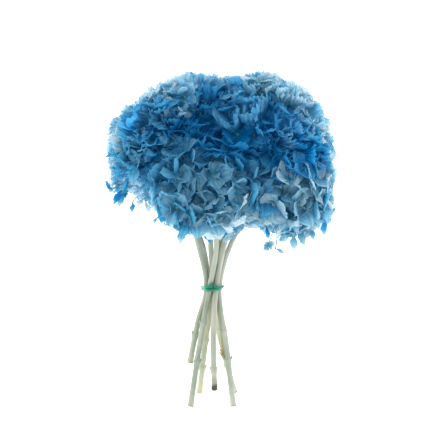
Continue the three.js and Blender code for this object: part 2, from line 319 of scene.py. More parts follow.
def smoothstep(value: float, low: float, high: float) -> float:
    """Rises smoothly from 0 at low to 1 at high."""
    share = min(max((value - low) / (high - low), 0.0), 1.0)
    return share * share * (3 - 2 * share)


@dataclass(frozen=True)
class Stray:
    """A loose floret that hangs out of a head on its own stalk."""

    spot: Spot
    facing: Spot
    size: float
    bloom: Bloom
    blue: Blue
    stretch: float = 1.0


# The loose florets of each head, by the flower's name.
STRAYS = {
    "right": (
        Stray((65, 47, 10), (0.0, -0.15, 1.0), 0.34, Bloom.OPEN, Blue.PALE),
        Stray((73, 44, 8), (0.93, -0.38, 0.0), 0.42, Bloom.LONE, Blue.PALE),
        Stray((63, 68, 12), (-0.1, -1.0, 0.1), 0.50, Bloom.LONE, Blue.SKY),
        Stray((80, 60, 12), (-0.5, -0.9, 0.1), 0.34, Bloom.LONE, Blue.SLATE),
        Stray((88, 66, 16), (-0.1, -1.0, 0.4), 0.62, Bloom.CUPPED, Blue.PALE),
        Stray((100, 66, 16), (0.3, -1.0, 0.4), 0.75, Bloom.CUPPED, Blue.MIST),
        Stray((101, 61, 12), (0.4, -0.9, 0.1), 0.50, Bloom.LONE, Blue.PALE),
        Stray((93, 60, 14), (0.05, -1.0, 0.1), 0.60, Bloom.LONE, Blue.PALE),
        Stray((114, 68, 14), (0.2, -1.0, 0.1), 0.56, Bloom.LONE, Blue.MIST),
        Stray((112, 74, 14), (0.2, -1.0, 0.3), 0.60, Bloom.CUPPED, Blue.PALE, 1.2),
        Stray((124, 82, 12), (0.2, -1.0, 0.3), 0.75, Bloom.CUPPED, Blue.MIST),
        Stray((132, 88, 6), (0.6, -0.9, 0.2), 0.60, Bloom.CUPPED, Blue.SKY),
        Stray((128, 78, 8), (0.05, -1.0, 0.1), 0.62, Bloom.LONE, Blue.SKY),
        Stray((61, 74, 16), (0.1, -1.0, 0.4), 0.40, Bloom.CUPPED, Blue.MIST, 1.6),
        Stray((51, 86, 44), (-0.3, -0.5, 0.8), 0.70, Bloom.CUPPED, Blue.PALE),
        Stray((63, 83, 44), (-0.1, -0.6, 0.8), 0.62, Bloom.CUPPED, Blue.MILK),
        Stray((64, 97, 54), (-0.2, -0.3, 0.9), 0.62, Bloom.CUPPED, Blue.PALE),
    ),
    "left": (
        Stray((-117, 112, -16), (-0.70, 0.72, 0.1), 0.66, Bloom.LONE, Blue.SKY),
        Stray((-119, 117, -16), (0.05, -1.0, 0.1), 0.52, Bloom.LONE, Blue.PALE),
        Stray((-105, 111, -14), (-0.42, -0.90, 0.1), 0.72, Bloom.LONE, Blue.AZURE),
        Stray((-103, 107, -16), (-0.30, -0.95, 0.1), 0.56, Bloom.LONE, Blue.MIST),
        Stray((-100, 110, -14), (-0.15, -1.0, 0.1), 0.40, Bloom.LONE, Blue.AZURE),
        Stray((-93, 99, -14), (0.15, -1.0, 0.1), 0.50, Bloom.LONE, Blue.SKY),
        Stray((-86, 104, -14), (0.45, -0.9, 0.1), 0.42, Bloom.LONE, Blue.MILK),
        Stray((-76, 97, -12), (0.45, -0.9, 0.1), 0.52, Bloom.LONE, Blue.MILK),
        Stray((-60, 97, -12), (-0.15, -1.0, 0.1), 0.48, Bloom.LONE, Blue.SLATE),
        Stray((-78, 106, -12), (0.1, -1.0, 0.4), 0.60, Bloom.CUPPED, Blue.MILK, 1.2),
    ),
    "front": (
        Stray((-56, 88, 10), (0.0, -1.0, 0.1), 0.46, Bloom.LONE, Blue.ROYAL),
        Stray((-61, 81, 12), (-0.55, -0.85, 0.1), 0.34, Bloom.LONE, Blue.PALE),
        Stray((-46, 78, 14), (-0.3, -1.0, 0.1), 0.40, Bloom.LONE, Blue.MIST),
        Stray((-34, 68, 18), (-0.1, -1.0, 0.1), 0.60, Bloom.LONE, Blue.PALE),
        Stray((-7, 69, 24), (-0.1, -1.0, 0.3), 0.62, Bloom.CUPPED, Blue.SKY),
        Stray((-3, 63, 26), (0.05, -1.0, 0.1), 0.54, Bloom.LONE, Blue.SKY),
        Stray((-36, 92, 88), (-0.4, -0.2, 0.9), 0.90, Bloom.OPEN, Blue.SLATE),
        Stray((26, 112, 90), (0.5, -0.3, 0.8), 0.85, Bloom.CUPPED, Blue.MIST),
        Stray((2, 124, 94), (0.1, 0.3, 0.9), 0.85, Bloom.CUPPED, Blue.SLATE),
        Stray((24, 67, 30), (0.3, -0.9, 0.4), 0.62, Bloom.CUPPED, Blue.PALE),
    ),
    "upper_left": (
        Stray((-30, 214, 54), (-0.1, 0.4, 0.9), 0.95, Bloom.OPEN, Blue.MIST),
        Stray((-24, 205, 54), (0.3, -0.5, 0.8), 0.62, Bloom.CUPPED, Blue.MIST, 1.3),
    ),
    "upper_right": (
        Stray((46, 214, 42), (0.0, 1.0, 0.4), 0.70, Bloom.CUPPED, Blue.MIST, 1.6),
        Stray((26, 176, 44), (-0.3, 0.8, 0.6), 1.35, Bloom.FAN, Blue.SKY),
        Stray((42, 182, 50), (0.1, 0.9, 0.5), 1.25, Bloom.FAN, Blue.SKY),
        Stray((106, 196, 52), (0.4, 0.4, 0.8), 0.85, Bloom.CUPPED, Blue.MIST),
    ),
}


def inside_edge(points: np.ndarray) -> np.ndarray:
    """Measures how far inside the heads' edge places are, seen from above.

    Args:
        points: The places, one row of two numbers each, in millimetres.

    Returns:
        The distance of each to the edge, below 0 outside it.
    """
    starts = np.array(EDGE, dtype=float)
    sides = np.roll(starts, -1, axis=0) - starts
    offsets = points[:, None, :] - starts[None]
    shares = np.clip((offsets * sides).sum(axis=2) / (sides**2).sum(axis=1), 0, 1)
    gaps = offsets - shares[..., None] * sides
    nearest = np.sqrt((gaps**2).sum(axis=2)).min(axis=1)
    below = offsets[..., 1] < 0
    crossed = below != np.roll(below, -1, axis=1)
    turned = (sides[:, 0] * offsets[..., 1] - sides[:, 1] * offsets[..., 0] < 0) == (sides[:, 1] > 0)
    within = (crossed & turned).sum(axis=1) % 2 == 1
    return np.where(within, nearest, -nearest)


def edge_from(centre: Spot, way: Vector) -> float:
    """Measures how far a place is from the heads' edge, seen from above.

    Args:
        centre: The place, in millimetres.
        way: The direction to measure in, in the bunch's frame.

    Returns:
        The distance along that direction to the farthest crossing of the edge.
    """
    farthest = 0.0
    for (x1, y1), (x2, y2) in zip(EDGE, EDGE[1:] + EDGE[:1]):
        cross = way.x * (y2 - y1) - way.y * (x2 - x1)
        if abs(cross) < 1e-9:
            continue
        along = ((x1 - centre[0]) * (y2 - y1) - (y1 - centre[1]) * (x2 - x1)) / cross
        share = ((x1 - centre[0]) * way.y - (y1 - centre[1]) * way.x) / cross
        if 0 <= share <= 1 and along > farthest:
            farthest = along
    return farthest


def deselect_all() -> None:
    """Leaves object mode with nothing selected."""
    if bpy.context.object and bpy.context.object.mode != "OBJECT":
        bpy.ops.object.mode_set(mode="OBJECT")
    bpy.ops.object.select_all(action="DESELECT")


def pick(*objects: Piece) -> None:
    """Selects these objects alone, the first of them active."""
    deselect_all()
    for obj in objects:
        obj.select_set(True)
    bpy.context.view_layer.objects.active = objects[0]


def edit(obj: Piece) -> None:
    """Opens an object's mesh for editing with nothing in it selected."""
    pick(obj)
    bpy.ops.object.mode_set(mode="EDIT")
    bpy.ops.mesh.select_mode(type="VERT")
    bpy.ops.mesh.select_all(action="DESELECT")


def edit_all(obj: Piece) -> None:
    """Opens an object's mesh for editing with all of it selected, in the last select mode."""
    pick(obj)
    bpy.ops.object.mode_set(mode="EDIT")
    bpy.ops.mesh.select_all(action="SELECT")


def finish_edit() -> None:
    """Goes back from edit mode to object mode."""
    bpy.ops.object.mode_set(mode="OBJECT")


def select_points(obj: Piece, keep: Callable[[Vector], bool]) -> None:
    """Selects points of the mesh being edited by their place.

    Args:
        obj: The object, in edit mode.
        keep: Says of a point's place whether it is selected.
    """
    mesh = bmesh.from_edit_mesh(obj.data)
    for point in mesh.verts:
        point.select = keep(point.co)
    mesh.select_flush_mode()
    bmesh.update_edit_mesh(obj.data)


def settle(*objects: Piece) -> None:
    """Applies the place, turn and scale of these objects, which stay selected."""
    pick(*objects)
    bpy.ops.object.transform_apply(location=True, rotation=True, scale=True)


def lay(obj: Piece) -> None:
    """Tips a piece that is made in the bunch's frame down with the bunch."""
    obj.matrix_world = LAY
    settle(obj)


def join(objects: Sequence[Piece], name: str) -> Piece:
    """Joins objects into one, whose own origin is the room's.

    Args:
        objects: The objects to join.
        name: The joined object's name.

    Returns:
        The joined object.
    """
    settle(*objects)
    if len(objects) > 1:
        bpy.ops.object.join()
    joined = bpy.context.object
    joined.name = name
    joined.data.name = name
    return joined


def copy_of(obj: Piece, matrix: Matrix) -> Piece:
    """Copies an object with its own mesh.

    Args:
        obj: The object to copy.
        matrix: Where the copy goes.

    Returns:
        The copy.
    """
    twin = obj.copy()
    twin.data = obj.data.copy()
    bpy.context.collection.objects.link(twin)
    twin.matrix_world = matrix
    return twin


def delete(objects: Sequence[Piece]) -> None:
    """Deletes objects."""
    pick(*objects)
    bpy.ops.object.delete()


def apply_modifiers(obj: Piece) -> None:
    """Applies all of an object's modifiers in order."""
    pick(obj)
    for modifier in list(obj.modifiers):
        bpy.ops.object.modifier_apply(modifier=modifier.name)


def crumple(
    obj: Piece, grain: float, depth: float, direction: str, coords: str = "LOCAL", kind: str = "COLOR"
) -> None:
    """Moves an object's points by a cloudy pattern.

    Args:
        obj: The object.
        grain: The size of the pattern's clouds, in metres.
        depth: How far the points move from end to end, in metres.
        direction: The Displace modifier's direction.
        coords: Whether the pattern is read in the object's own frame or the room's.
        kind: Whether the clouds are coloured or grey.
    """
    clouds = bpy.data.textures.new("clouds", "CLOUDS")
    clouds.noise_scale = grain
    clouds.noise_depth = 1
    clouds.cloud_type = kind
    modifier = obj.modifiers.new("crumple", "DISPLACE")
    modifier.texture = clouds
    modifier.texture_coords = coords
    modifier.direction = direction
    modifier.strength = depth
    modifier.mid_level = 0.5
    apply_modifiers(obj)


def points_of(obj: Piece) -> np.ndarray:
    """Gives the places of a mesh's points, with a 1 after each."""
    places = np.empty(3 * len(obj.data.vertices), dtype=np.float32)
    obj.data.vertices.foreach_get("co", places)
    return np.column_stack([places.reshape(-1, 3), np.ones(len(obj.data.vertices))])


# For each kind of attribute, how many numbers it has and Blender's word for them.
ATTRIBUTES = {"FLOAT": (1, "value"), "FLOAT_VECTOR": (3, "vector"), "FLOAT_COLOR": (4, "color")}


def note(obj: Piece, name: str, kind: str, values: np.ndarray | Sequence[float] | float) -> None:
    """Writes a value to each of a mesh's points.

    Args:
        obj: The object.
        name: The attribute's name.
        kind: The attribute's kind, one of ATTRIBUTES.
        values: One row of numbers for each point, or one row for all of them.
    """
    mesh = obj.data
    attribute = mesh.attributes.get(name) or mesh.attributes.new(name, kind, "POINT")
    width, word = ATTRIBUTES[kind]
    rows = np.broadcast_to(np.asarray(values, dtype=np.float32), (len(mesh.vertices), width))
    attribute.data.foreach_set(word, np.ascontiguousarray(rows).ravel())


def line_of(name: str, spots: Sequence[Vector]) -> Piece:
    """Makes a curve object that runs through places.

    Args:
        name: The object's name.
        spots: The places, in millimetres.

    Returns:
        The curve object, in metres.
    """
    data = bpy.data.curves.new(name, "CURVE")
    data.dimensions = "3D"
    spline = data.splines.new("POLY")
    spline.points.add(len(spots) - 1)
    for place, spot in zip(spline.points, spots):
        place.co = (*(spot * MM), 1.0)
    line = bpy.data.objects.new(name, data)
    bpy.context.collection.objects.link(line)
    return line


class Path:
    """A smooth line through given places, measured along its length."""

    STEPS = 24

    def __init__(self, spots: Sequence[Spot]) -> None:
        """Runs a centripetal Catmull-Rom line through the places.

        Args:
            spots: The places, in millimetres.
        """
        inner = [Vector(spot) for spot in spots]
        run = [2 * inner[0] - inner[1], *inner, 2 * inner[-1] - inner[-2]]
        self.points = [inner[0]]
        for before, start, end, after in zip(run, run[1:], run[2:], run[3:]):
            gaps = [math.sqrt((b - a).length) for a, b in ((before, start), (start, end), (end, after))]
            leave = self._slope(before, start, end, gaps[0], gaps[1]) * gaps[1]
            arrive = self._slope(start, end, after, gaps[1], gaps[2]) * gaps[1]
            for step in range(1, self.STEPS + 1):
                self.points.append(self._blend(start, end, leave, arrive, step / self.STEPS))
        lengths = [(b - a).length for a, b in zip(self.points, self.points[1:])]
        self.marks = np.concatenate([[0.0], np.cumsum(lengths)])
        self.length = float(self.marks[-1])

    @staticmethod
    def _slope(before: Vector, here: Vector, after: Vector, gap_in: float, gap_out: float) -> Vector:
        """Gives the line's slope at a place, from its neighbours and the gaps to them."""
        middle = (after - before) / (gap_in + gap_out)
        return (here - before) / gap_in - middle + (after - here) / gap_out

    @staticmethod
    def _blend(start: Vector, end: Vector, leave: Vector, arrive: Vector, t: float) -> Vector:
        """Gives a place on the piece of the line between two places."""
        bend = 3 * (end - start) - 2 * leave - arrive
        rest = 2 * (start - end) + leave + arrive
        return start + leave * t + bend * t**2 + rest * t**3

    def at(self, distance: float) -> Vector:
        """Gives the place at a distance along the line, in millimetres."""
        return Vector([float(np.interp(distance, self.marks, [p[i] for p in self.points])) for i in range(3)])

    def tangent(self, distance: float) -> Vector:
        """Gives the line's direction at a distance along it."""
        near = min(max(distance, 0.5), self.length - 0.5)
        return (self.at(near + 0.5) - self.at(near - 0.5)).normalized()


def lay_down(flowers: Sequence[Flower]) -> Matrix:
    """Finds the tip and lift at which the left flower's head and cut end touch the table.

    Args:
        flowers: The bunch's flowers.

    Returns:
        The matrix from the bunch's frame to the room, both in metres.
    """
    resting = next(flower for flower in flowers if flower.name == "left")
    foot = Vector(resting.route[0])
    rise = Vector(resting.centre) - foot
    climb = resting.radius - PRESS - STEM_RADIUS
    angle = math.asin(climb / math.hypot(rise.y, rise.z)) - math.atan2(rise.z, rise.y)
    tipped = Matrix.Rotation(angle, 4, "X")
    lift = STEM_RADIUS - (tipped @ foot).z
    return Matrix.Translation(Vector((BUNCH_ASIDE, BUNCH_BACK, lift)) * MM) @ tipped


LAY = lay_down(FLOWERS)
DOWN = LAY.to_3x3().inverted() @ Vector((0, 0, -1))


def facing_along(way: Vector) -> Matrix:
    """Gives the turn that points a piece's +Z along a direction."""
    return way.to_track_quat("Z", "Y").to_matrix().to_4x4()


class Field:
    """A number or colour that varies over a surface: the output socket of a shader node."""

    def __init__(self, graph: "Graph", socket: bpy.types.NodeSocket) -> None:
        """Wraps an output socket of a node in a graph."""
        self.graph = graph
        self.socket = socket

    def _maths(self, operation: str, *values: "Field | float") -> "Field":
        """Adds a Math node that works on these values."""
        made = self.graph.node("ShaderNodeMath", {"operation": operation}, dict(enumerate(values)))
        return self.graph.out(made)

    def __add__(self, other: "Field | float") -> "Field":
        """Adds."""
        return self._maths("ADD", self, other)

    def __sub__(self, other: "Field | float") -> "Field":
        """Takes the other away."""
        return self._maths("SUBTRACT", self, other)

    def __rsub__(self, other: "Field | float") -> "Field":
        """Is taken away from the other."""
        return self._maths("SUBTRACT", other, self)

    def __mul__(self, other: "Field | float") -> "Field":
        """Multiplies."""
        return self._maths("MULTIPLY", self, other)

    __radd__ = __add__
    __rmul__ = __mul__

    def __pow__(self, other: "Field | float") -> "Field":
        """Raises to a power."""
        return self._maths("POWER", self, other)

    def __abs__(self) -> "Field":
        """Drops the sign."""
        return self._maths("ABSOLUTE", self)

    def sine(self) -> "Field":
        """Gives the sine."""
        return self._maths("SINE", self)

    def step(self, low: float, high: float) -> "Field":
        """Rises smoothly from 0 where the value is low to 1 where it is high."""
        inputs = {"Value": self, "From Min": low, "From Max": high}
        made = self.graph.node("ShaderNodeMapRange", {"interpolation_type": "SMOOTHSTEP"}, inputs)
        return self.graph.out(made)


class Graph:
    """A material and its nodes."""

    def __init__(self, name: str) -> None:
        """Starts an empty material of this name."""
        self.material = bpy.data.materials.new(name)
        self.material.use_nodes = True
        self.tree = self.material.node_tree
        self.tree.nodes.clear()

    def node(self, kind: str, settings: dict | None = None, inputs: dict | None = None) -> bpy.types.Node:
        """Adds a node.

        Args:
            kind: The node's type.
            settings: Its properties, set first.
            inputs: The value, colour or link of each of its sockets, by name or number.

        Returns:
            The node.
        """
        made = self.tree.nodes.new(kind)
        for name, value in (settings or {}).items():
            setattr(made, name, value)
        for name, value in (inputs or {}).items():
            if isinstance(value, Field):
                self.tree.links.new(value.socket, made.inputs[name])
            else:
                made.inputs[name].default_value = value
        return made

    def out(self, made: bpy.types.Node, name: str | int = 0) -> Field:
        """Gives one of a node's outputs."""
        return Field(self, made.outputs[name])

    def parts(self, vector: Field) -> tuple[Field, Field, Field]:
        """Splits a vector or a colour into its three numbers."""
        made = self.node("ShaderNodeSeparateXYZ", {}, {0: vector})
        return self.out(made, 0), self.out(made, 1), self.out(made, 2)

    def vector(self, x: Field | float, y: Field | float, z: Field | float) -> Field:
        """Makes a vector from three numbers."""
        return self.out(self.node("ShaderNodeCombineXYZ", {}, {0: x, 1: y, 2: z}))

    def mix(self, share: Field | float, first: Field | Rgb, second: Field | Rgb, kind: str = "MIX") -> Field:
        """Mixes two colours.

        Args:
            share: How much of the second there is.
            first: The first colour.
            second: The second colour.
            kind: The way they mix.

        Returns:
            The mixed colour.
        """
        ends = [end if isinstance(end, Field) else (*end, 1.0) for end in (first, second)]
        settings = {"data_type": "RGBA", "blend_type": kind}
        return self.out(self.node("ShaderNodeMix", settings, {0: share, 6: ends[0], 7: ends[1]}), 2)

    def blend(self, share: Field | float, first: bpy.types.Node, second: bpy.types.Node) -> bpy.types.Node:
        """Mixes two shaders, with this share of the second."""
        return self.node("ShaderNodeMixShader", {}, {0: share, 1: self.out(first), 2: self.out(second)})

    def noise(self, vector: Field, scale: float, detail: float = 2.0, seed: Field | float = 0.0) -> Field:
        """Gives a cloudy pattern between 0 and 1.

        Args:
            vector: The place that it is read at.
            scale: How many clouds there are to a unit.
            detail: How many finer layers it has.
            seed: A number that changes the whole pattern.

        Returns:
            The pattern's value.
        """
        inputs = {"Vector": vector, "W": seed, "Scale": scale, "Detail": detail, "Roughness": 0.55}
        return self.out(self.node("ShaderNodeTexNoise", {"noise_dimensions": "4D"}, inputs), 0)

    def place(self) -> Field:
        """Gives the place on the object, in metres."""
        return self.out(self.node("ShaderNodeTexCoord"), "Object")

    def attribute(self, name: str, output: str) -> Field:
        """Gives one of the mesh's own attributes."""
        return self.out(self.node("ShaderNodeAttribute", {"attribute_name": name}), output)

    def bump(self, height: Field, strength: float, distance: float) -> Field:
        """Gives a normal that is roughened by a height from 0 to 1, as deep as a distance in metres."""
        inputs = {"Strength": strength, "Distance": distance, "Height": height}
        return self.out(self.node("ShaderNodeBump", {}, inputs))

    def close(self, shader: bpy.types.Node) -> bpy.types.Material:
        """Links the last shader to the output and gives the material."""
        self.node("ShaderNodeOutputMaterial", {}, {"Surface": self.out(shader)})
        return self.material

    def surface(self, **inputs: Field | float | Sequence[float]) -> bpy.types.Node:
        """Adds a principled shader, with each socket's name in small letters and underscores."""
        names = {name.lower().replace(" ", "_"): name for name in PRINCIPLED_SOCKETS}
        sockets = {names[name]: value for name, value in inputs.items()}
        return self.node("ShaderNodeBsdfPrincipled", {}, sockets)


PRINCIPLED_SOCKETS = (
    "Base Color", "Roughness", "Specular IOR Level", "Emission Color", "Emission Strength", "Normal",
    "Subsurface Weight", "Subsurface Radius", "Subsurface Scale",
)


@dataclass(frozen=True)
class PetalFinish:
    """Dyed, preserved petals: thin, pleated and veined, with light coming through; painted shade darkens the
    grooves of their pleats, painted light pales their tips and rims, and a faint painted glow lifts their
    shade.
    """

    name: str
    see_through: float = 0.52
    # The strength of a painted glow, a faint emission in the petals' own colour.
    glow: float = 0.075
    fade: float = 0.45
    pleats: float = 7
    ribs: float = 24
    rib_slant: float = 15
    rays: float = 26
    relief: float = 0.0006
    veil: Rgb = (0.95, 0.98, 1.00)
    dark_glow: Rgb = (0.000, 0.42, 0.72)
    blue_glow: Rgb = (0.080, 0.56, 0.80)
    pale_glow: Rgb = (0.80, 0.87, 0.91)
    # Painted shade, painted light and painted glow: the tint that darkens the grooves, the colour that the
    # lit tips pale towards, and the glow's tint.
    painted_shade_tint: Rgb = (0.02, 0.56, 0.72)
    rim: Rgb = (0.74, 0.84, 0.88)
    painted_glow_tint: Rgb = (0.10, 0.85, 1.00)
    stalk: Rgb = (0.26, 0.40, 0.26)
    eye: Rgb = (0.05, 0.30, 0.30)

    def make(self) -> bpy.types.Material:
        """Builds the material.

        Returns:
            The material.
        """
        graph = Graph(self.name)
        tint = graph.attribute("tint", "Color")
        seed = graph.attribute("tint", "Alpha")
        petal = graph.attribute("petal", "Fac")
        u, v, _ = graph.parts(graph.out(graph.node("ShaderNodeUVMap")))
        aside = abs(u - 0.5) * 2
        pleats = graph.noise(graph.vector(u * self.pleats, v * 0.5, 0.0), 1.0, 2.0, seed * 91)
        blotches = graph.noise(graph.place(), 60.0, 3.0)
        ribs = abs((v * self.ribs - aside * self.rib_slant).sine()) ** 0.4
        midrib = aside.step(0.0, 0.08)
        rays = (u * self.rays + pleats * 5 + seed * 40).sine() * 0.5 + 0.5
        tip = v.step(0.35, 1.05)
        # Painted shade: darker in the grooves of the pleats and rays and towards the base, along with the
        # petals' own blotches.
        shade = pleats.step(0.40, 0.60) * 0.32 + rays * 0.28 + blotches.step(0.35, 0.65) * 0.1
        shade = shade + v.step(0.0, 0.8) * 0.3
        # Painted shade: the darkened tint that the grooves and the base are mixed towards, less so on paler
        # tints.
        painted_shade_tint = graph.mix(1.0, tint, self.painted_shade_tint, "MULTIPLY")
        redness, _, _ = graph.parts(tint)
        dye_and_painted_light = graph.mix(shade + redness * 0.4, painted_shade_tint, tint)
        dye_and_painted_light = graph.mix((1 - v.step(0.0, 0.2)) * 0.5, dye_and_painted_light, self.eye)
        # Painted light: the tips are paled towards the rim colour where the pleats are lit, for light that
        # comes through them from behind; more on paler tints.
        paler = tip * shade * (0.05 + redness * 1.5)
        dye_and_painted_light = graph.mix(paler, dye_and_painted_light, self.rim)
        colour = graph.mix(petal, self.stalk, dye_and_painted_light)
        relief = pleats * 0.5 + rays * 0.3 + ribs * 0.1 + midrib * 0.1
        surface = graph.surface(
            base_color=colour,
            roughness=0.8,
            specular_ior_level=0.0,
            # Painted glow: a faint emission in the petal's own colour, which lifts the shade between petals;
            # the petals give no light of their own.
            emission_color=graph.mix(1.0, colour, self.painted_glow_tint, "MULTIPLY"),
            emission_strength=self.glow,
            normal=graph.bump(relief, 0.7, self.relief),
        )
        red, green, _ = graph.parts(colour)
        bright = red * 0.35 + green * 0.65
        through = self._light(graph, self.dark_glow)
        for glow, start, end in ((self.blue_glow, 0.08, 0.30), (self.pale_glow, 0.26, 0.72)):
            through = graph.blend(bright.step(start, end), through, self._light(graph, glow))
        whole = graph.blend(self.see_through, surface, through)
        clear = graph.node("ShaderNodeBsdfTransparent", {}, {"Color": (*self.veil, 1.0)})
        return graph.close(graph.blend(petal * v.step(0.55, 1.0) * self.fade, whole, clear))

    @staticmethod
    def _light(graph: Graph, glow: Rgb) -> bpy.types.Node:
        """Adds a shader for the light that comes through a petal in one colour."""
        return graph.node("ShaderNodeBsdfTranslucent", {}, {"Color": (*glow, 1.0)})


@dataclass(frozen=True)
class StemFinish:
    """A bare preserved stem: pale green bark with long fibres, a stained cut end and perhaps a scar, with
    painted shade in its grooves and painted light towards its head.
    """

    green: Rgb
    straw: Rgb
    end: Rgb
    stain: float = 0.0012
    tip: Rgb | None = None
    scar: float = 0.0
    scar_tint: Rgb = (0.62, 0.36, 0.20)
    speck: Rgb = (0.20, 0.17, 0.10)
    dry: Rgb = (0.60, 0.62, 0.56)
    groove: Rgb = (0.62, 0.62, 0.50)

    def make(self, name: str) -> bpy.types.Material:
        """Builds the material.

        Args:
            name: The material's name.

        Returns:
            The material.
        """
        graph = Graph(name)
        x, y, along = graph.parts(graph.attribute("grain", "Vector"))
        fibres, patches, specks = (
            graph.noise(graph.vector(x * across, y * across, along * length), 1.0, detail)
            for across, length, detail in ((900, 28, 3.0), (60, 30, 3.0), (500, 320, 1.0))
        )
        colour = graph.mix(patches.step(0.35, 0.68), self.green, self.straw)
        paler = graph.mix(0.45, self.straw, self.dry)
        # Darker where the fibres are low, in the grooves of the bump: partly the bark's own streaks, partly
        # painted shade.
        darker = graph.mix(1.0, self.green, self.groove, "MULTIPLY")
        colour = graph.mix(fibres.step(0.50, 0.75) * 0.7, colour, paler)
        colour = graph.mix((1 - fibres.step(0.30, 0.48)) * 0.6, colour, darker)
        colour = graph.mix(specks.step(0.66, 0.76) * 0.35, colour, self.speck)
        # Painted light: paler from 90 to 170 mm up from the cut end, towards the heads, against the shade the
        # heads cast on the stems.
        colour = graph.mix(along.step(0.09, 0.17) * 0.45, colour, paler)
        scar = 1 - abs(along - self.scar).step(0.0002, 0.0009)
        colour = graph.mix(scar * 0.6, colour, self.scar_tint)
        ragged = along + (x * 0.4 + (0.5 - fibres) * self.stain * 0.6)
        faint = 1 - along.step(self.stain, 2 * self.stain)
        colour = graph.mix(faint * 0.35, colour, self.end)
        end = graph.mix(ragged.step(0.2 * self.stain, 0.5 * self.stain), self.tip or self.end, self.end)
        colour = graph.mix(1 - ragged.step(0.5 * self.stain, self.stain), colour, end)
        relief = graph.bump(fibres * 0.7 + specks * 0.3, 0.5, 0.0003)
        return graph.close(
            graph.surface(base_color=colour, roughness=0.6, specular_ior_level=0.35, normal=relief)
        )


@dataclass(frozen=True)
class BandFinish:
    """A soft green elastic band, paler at its loose left side, where light comes through it."""

    name: str = "green_band"
    green: Rgb = (0.000, 0.145, 0.085)
    pale: Rgb = (0.002, 0.260, 0.165)
    mint: Rgb = (0.130, 0.380, 0.260)
    loose: Range = (-0.0265, -0.0215)

    def make(self) -> bpy.types.Material:
        """Builds the material.

        Returns:
            The material.
        """
        graph = Graph(self.name)
        x, _, _ = graph.parts(graph.place())
        clouds = graph.noise(graph.place(), 160.0, 2.0)
        grit = graph.noise(graph.place(), 2200.0, 1.0)
        colour = graph.mix(clouds.step(0.3, 0.7), self.green, self.pale)
        # Painted light: the band is paler mint at its loose left side, for the light that comes through it
        # there.
        return graph.close(
            graph.surface(
                base_color=graph.mix(1 - x.step(*self.loose), colour, self.mint),
                roughness=0.38,
                specular_ior_level=0.3,
                subsurface_weight=0.2,
                subsurface_radius=(0.002, 0.004, 0.003),
                subsurface_scale=0.5,
                normal=graph.bump(grit, 0.15, 0.0001),
            )
        )


@dataclass(frozen=True)
class TableFinish:
    """A white table that is lit from inside."""

    name: str = "white_table"
    white: float = 0.9
    light: float = 1.2

    def make(self) -> bpy.types.Material:
        """Builds the material.

        Returns:
            The material.
        """
        graph = Graph(self.name)
        surface = graph.surface(
            base_color=(self.white, self.white, self.white, 1.0),
            roughness=0.9,
            emission_color=(1.0, 1.0, 1.0, 1.0),
            emission_strength=self.light,
        )
        return graph.close(surface)


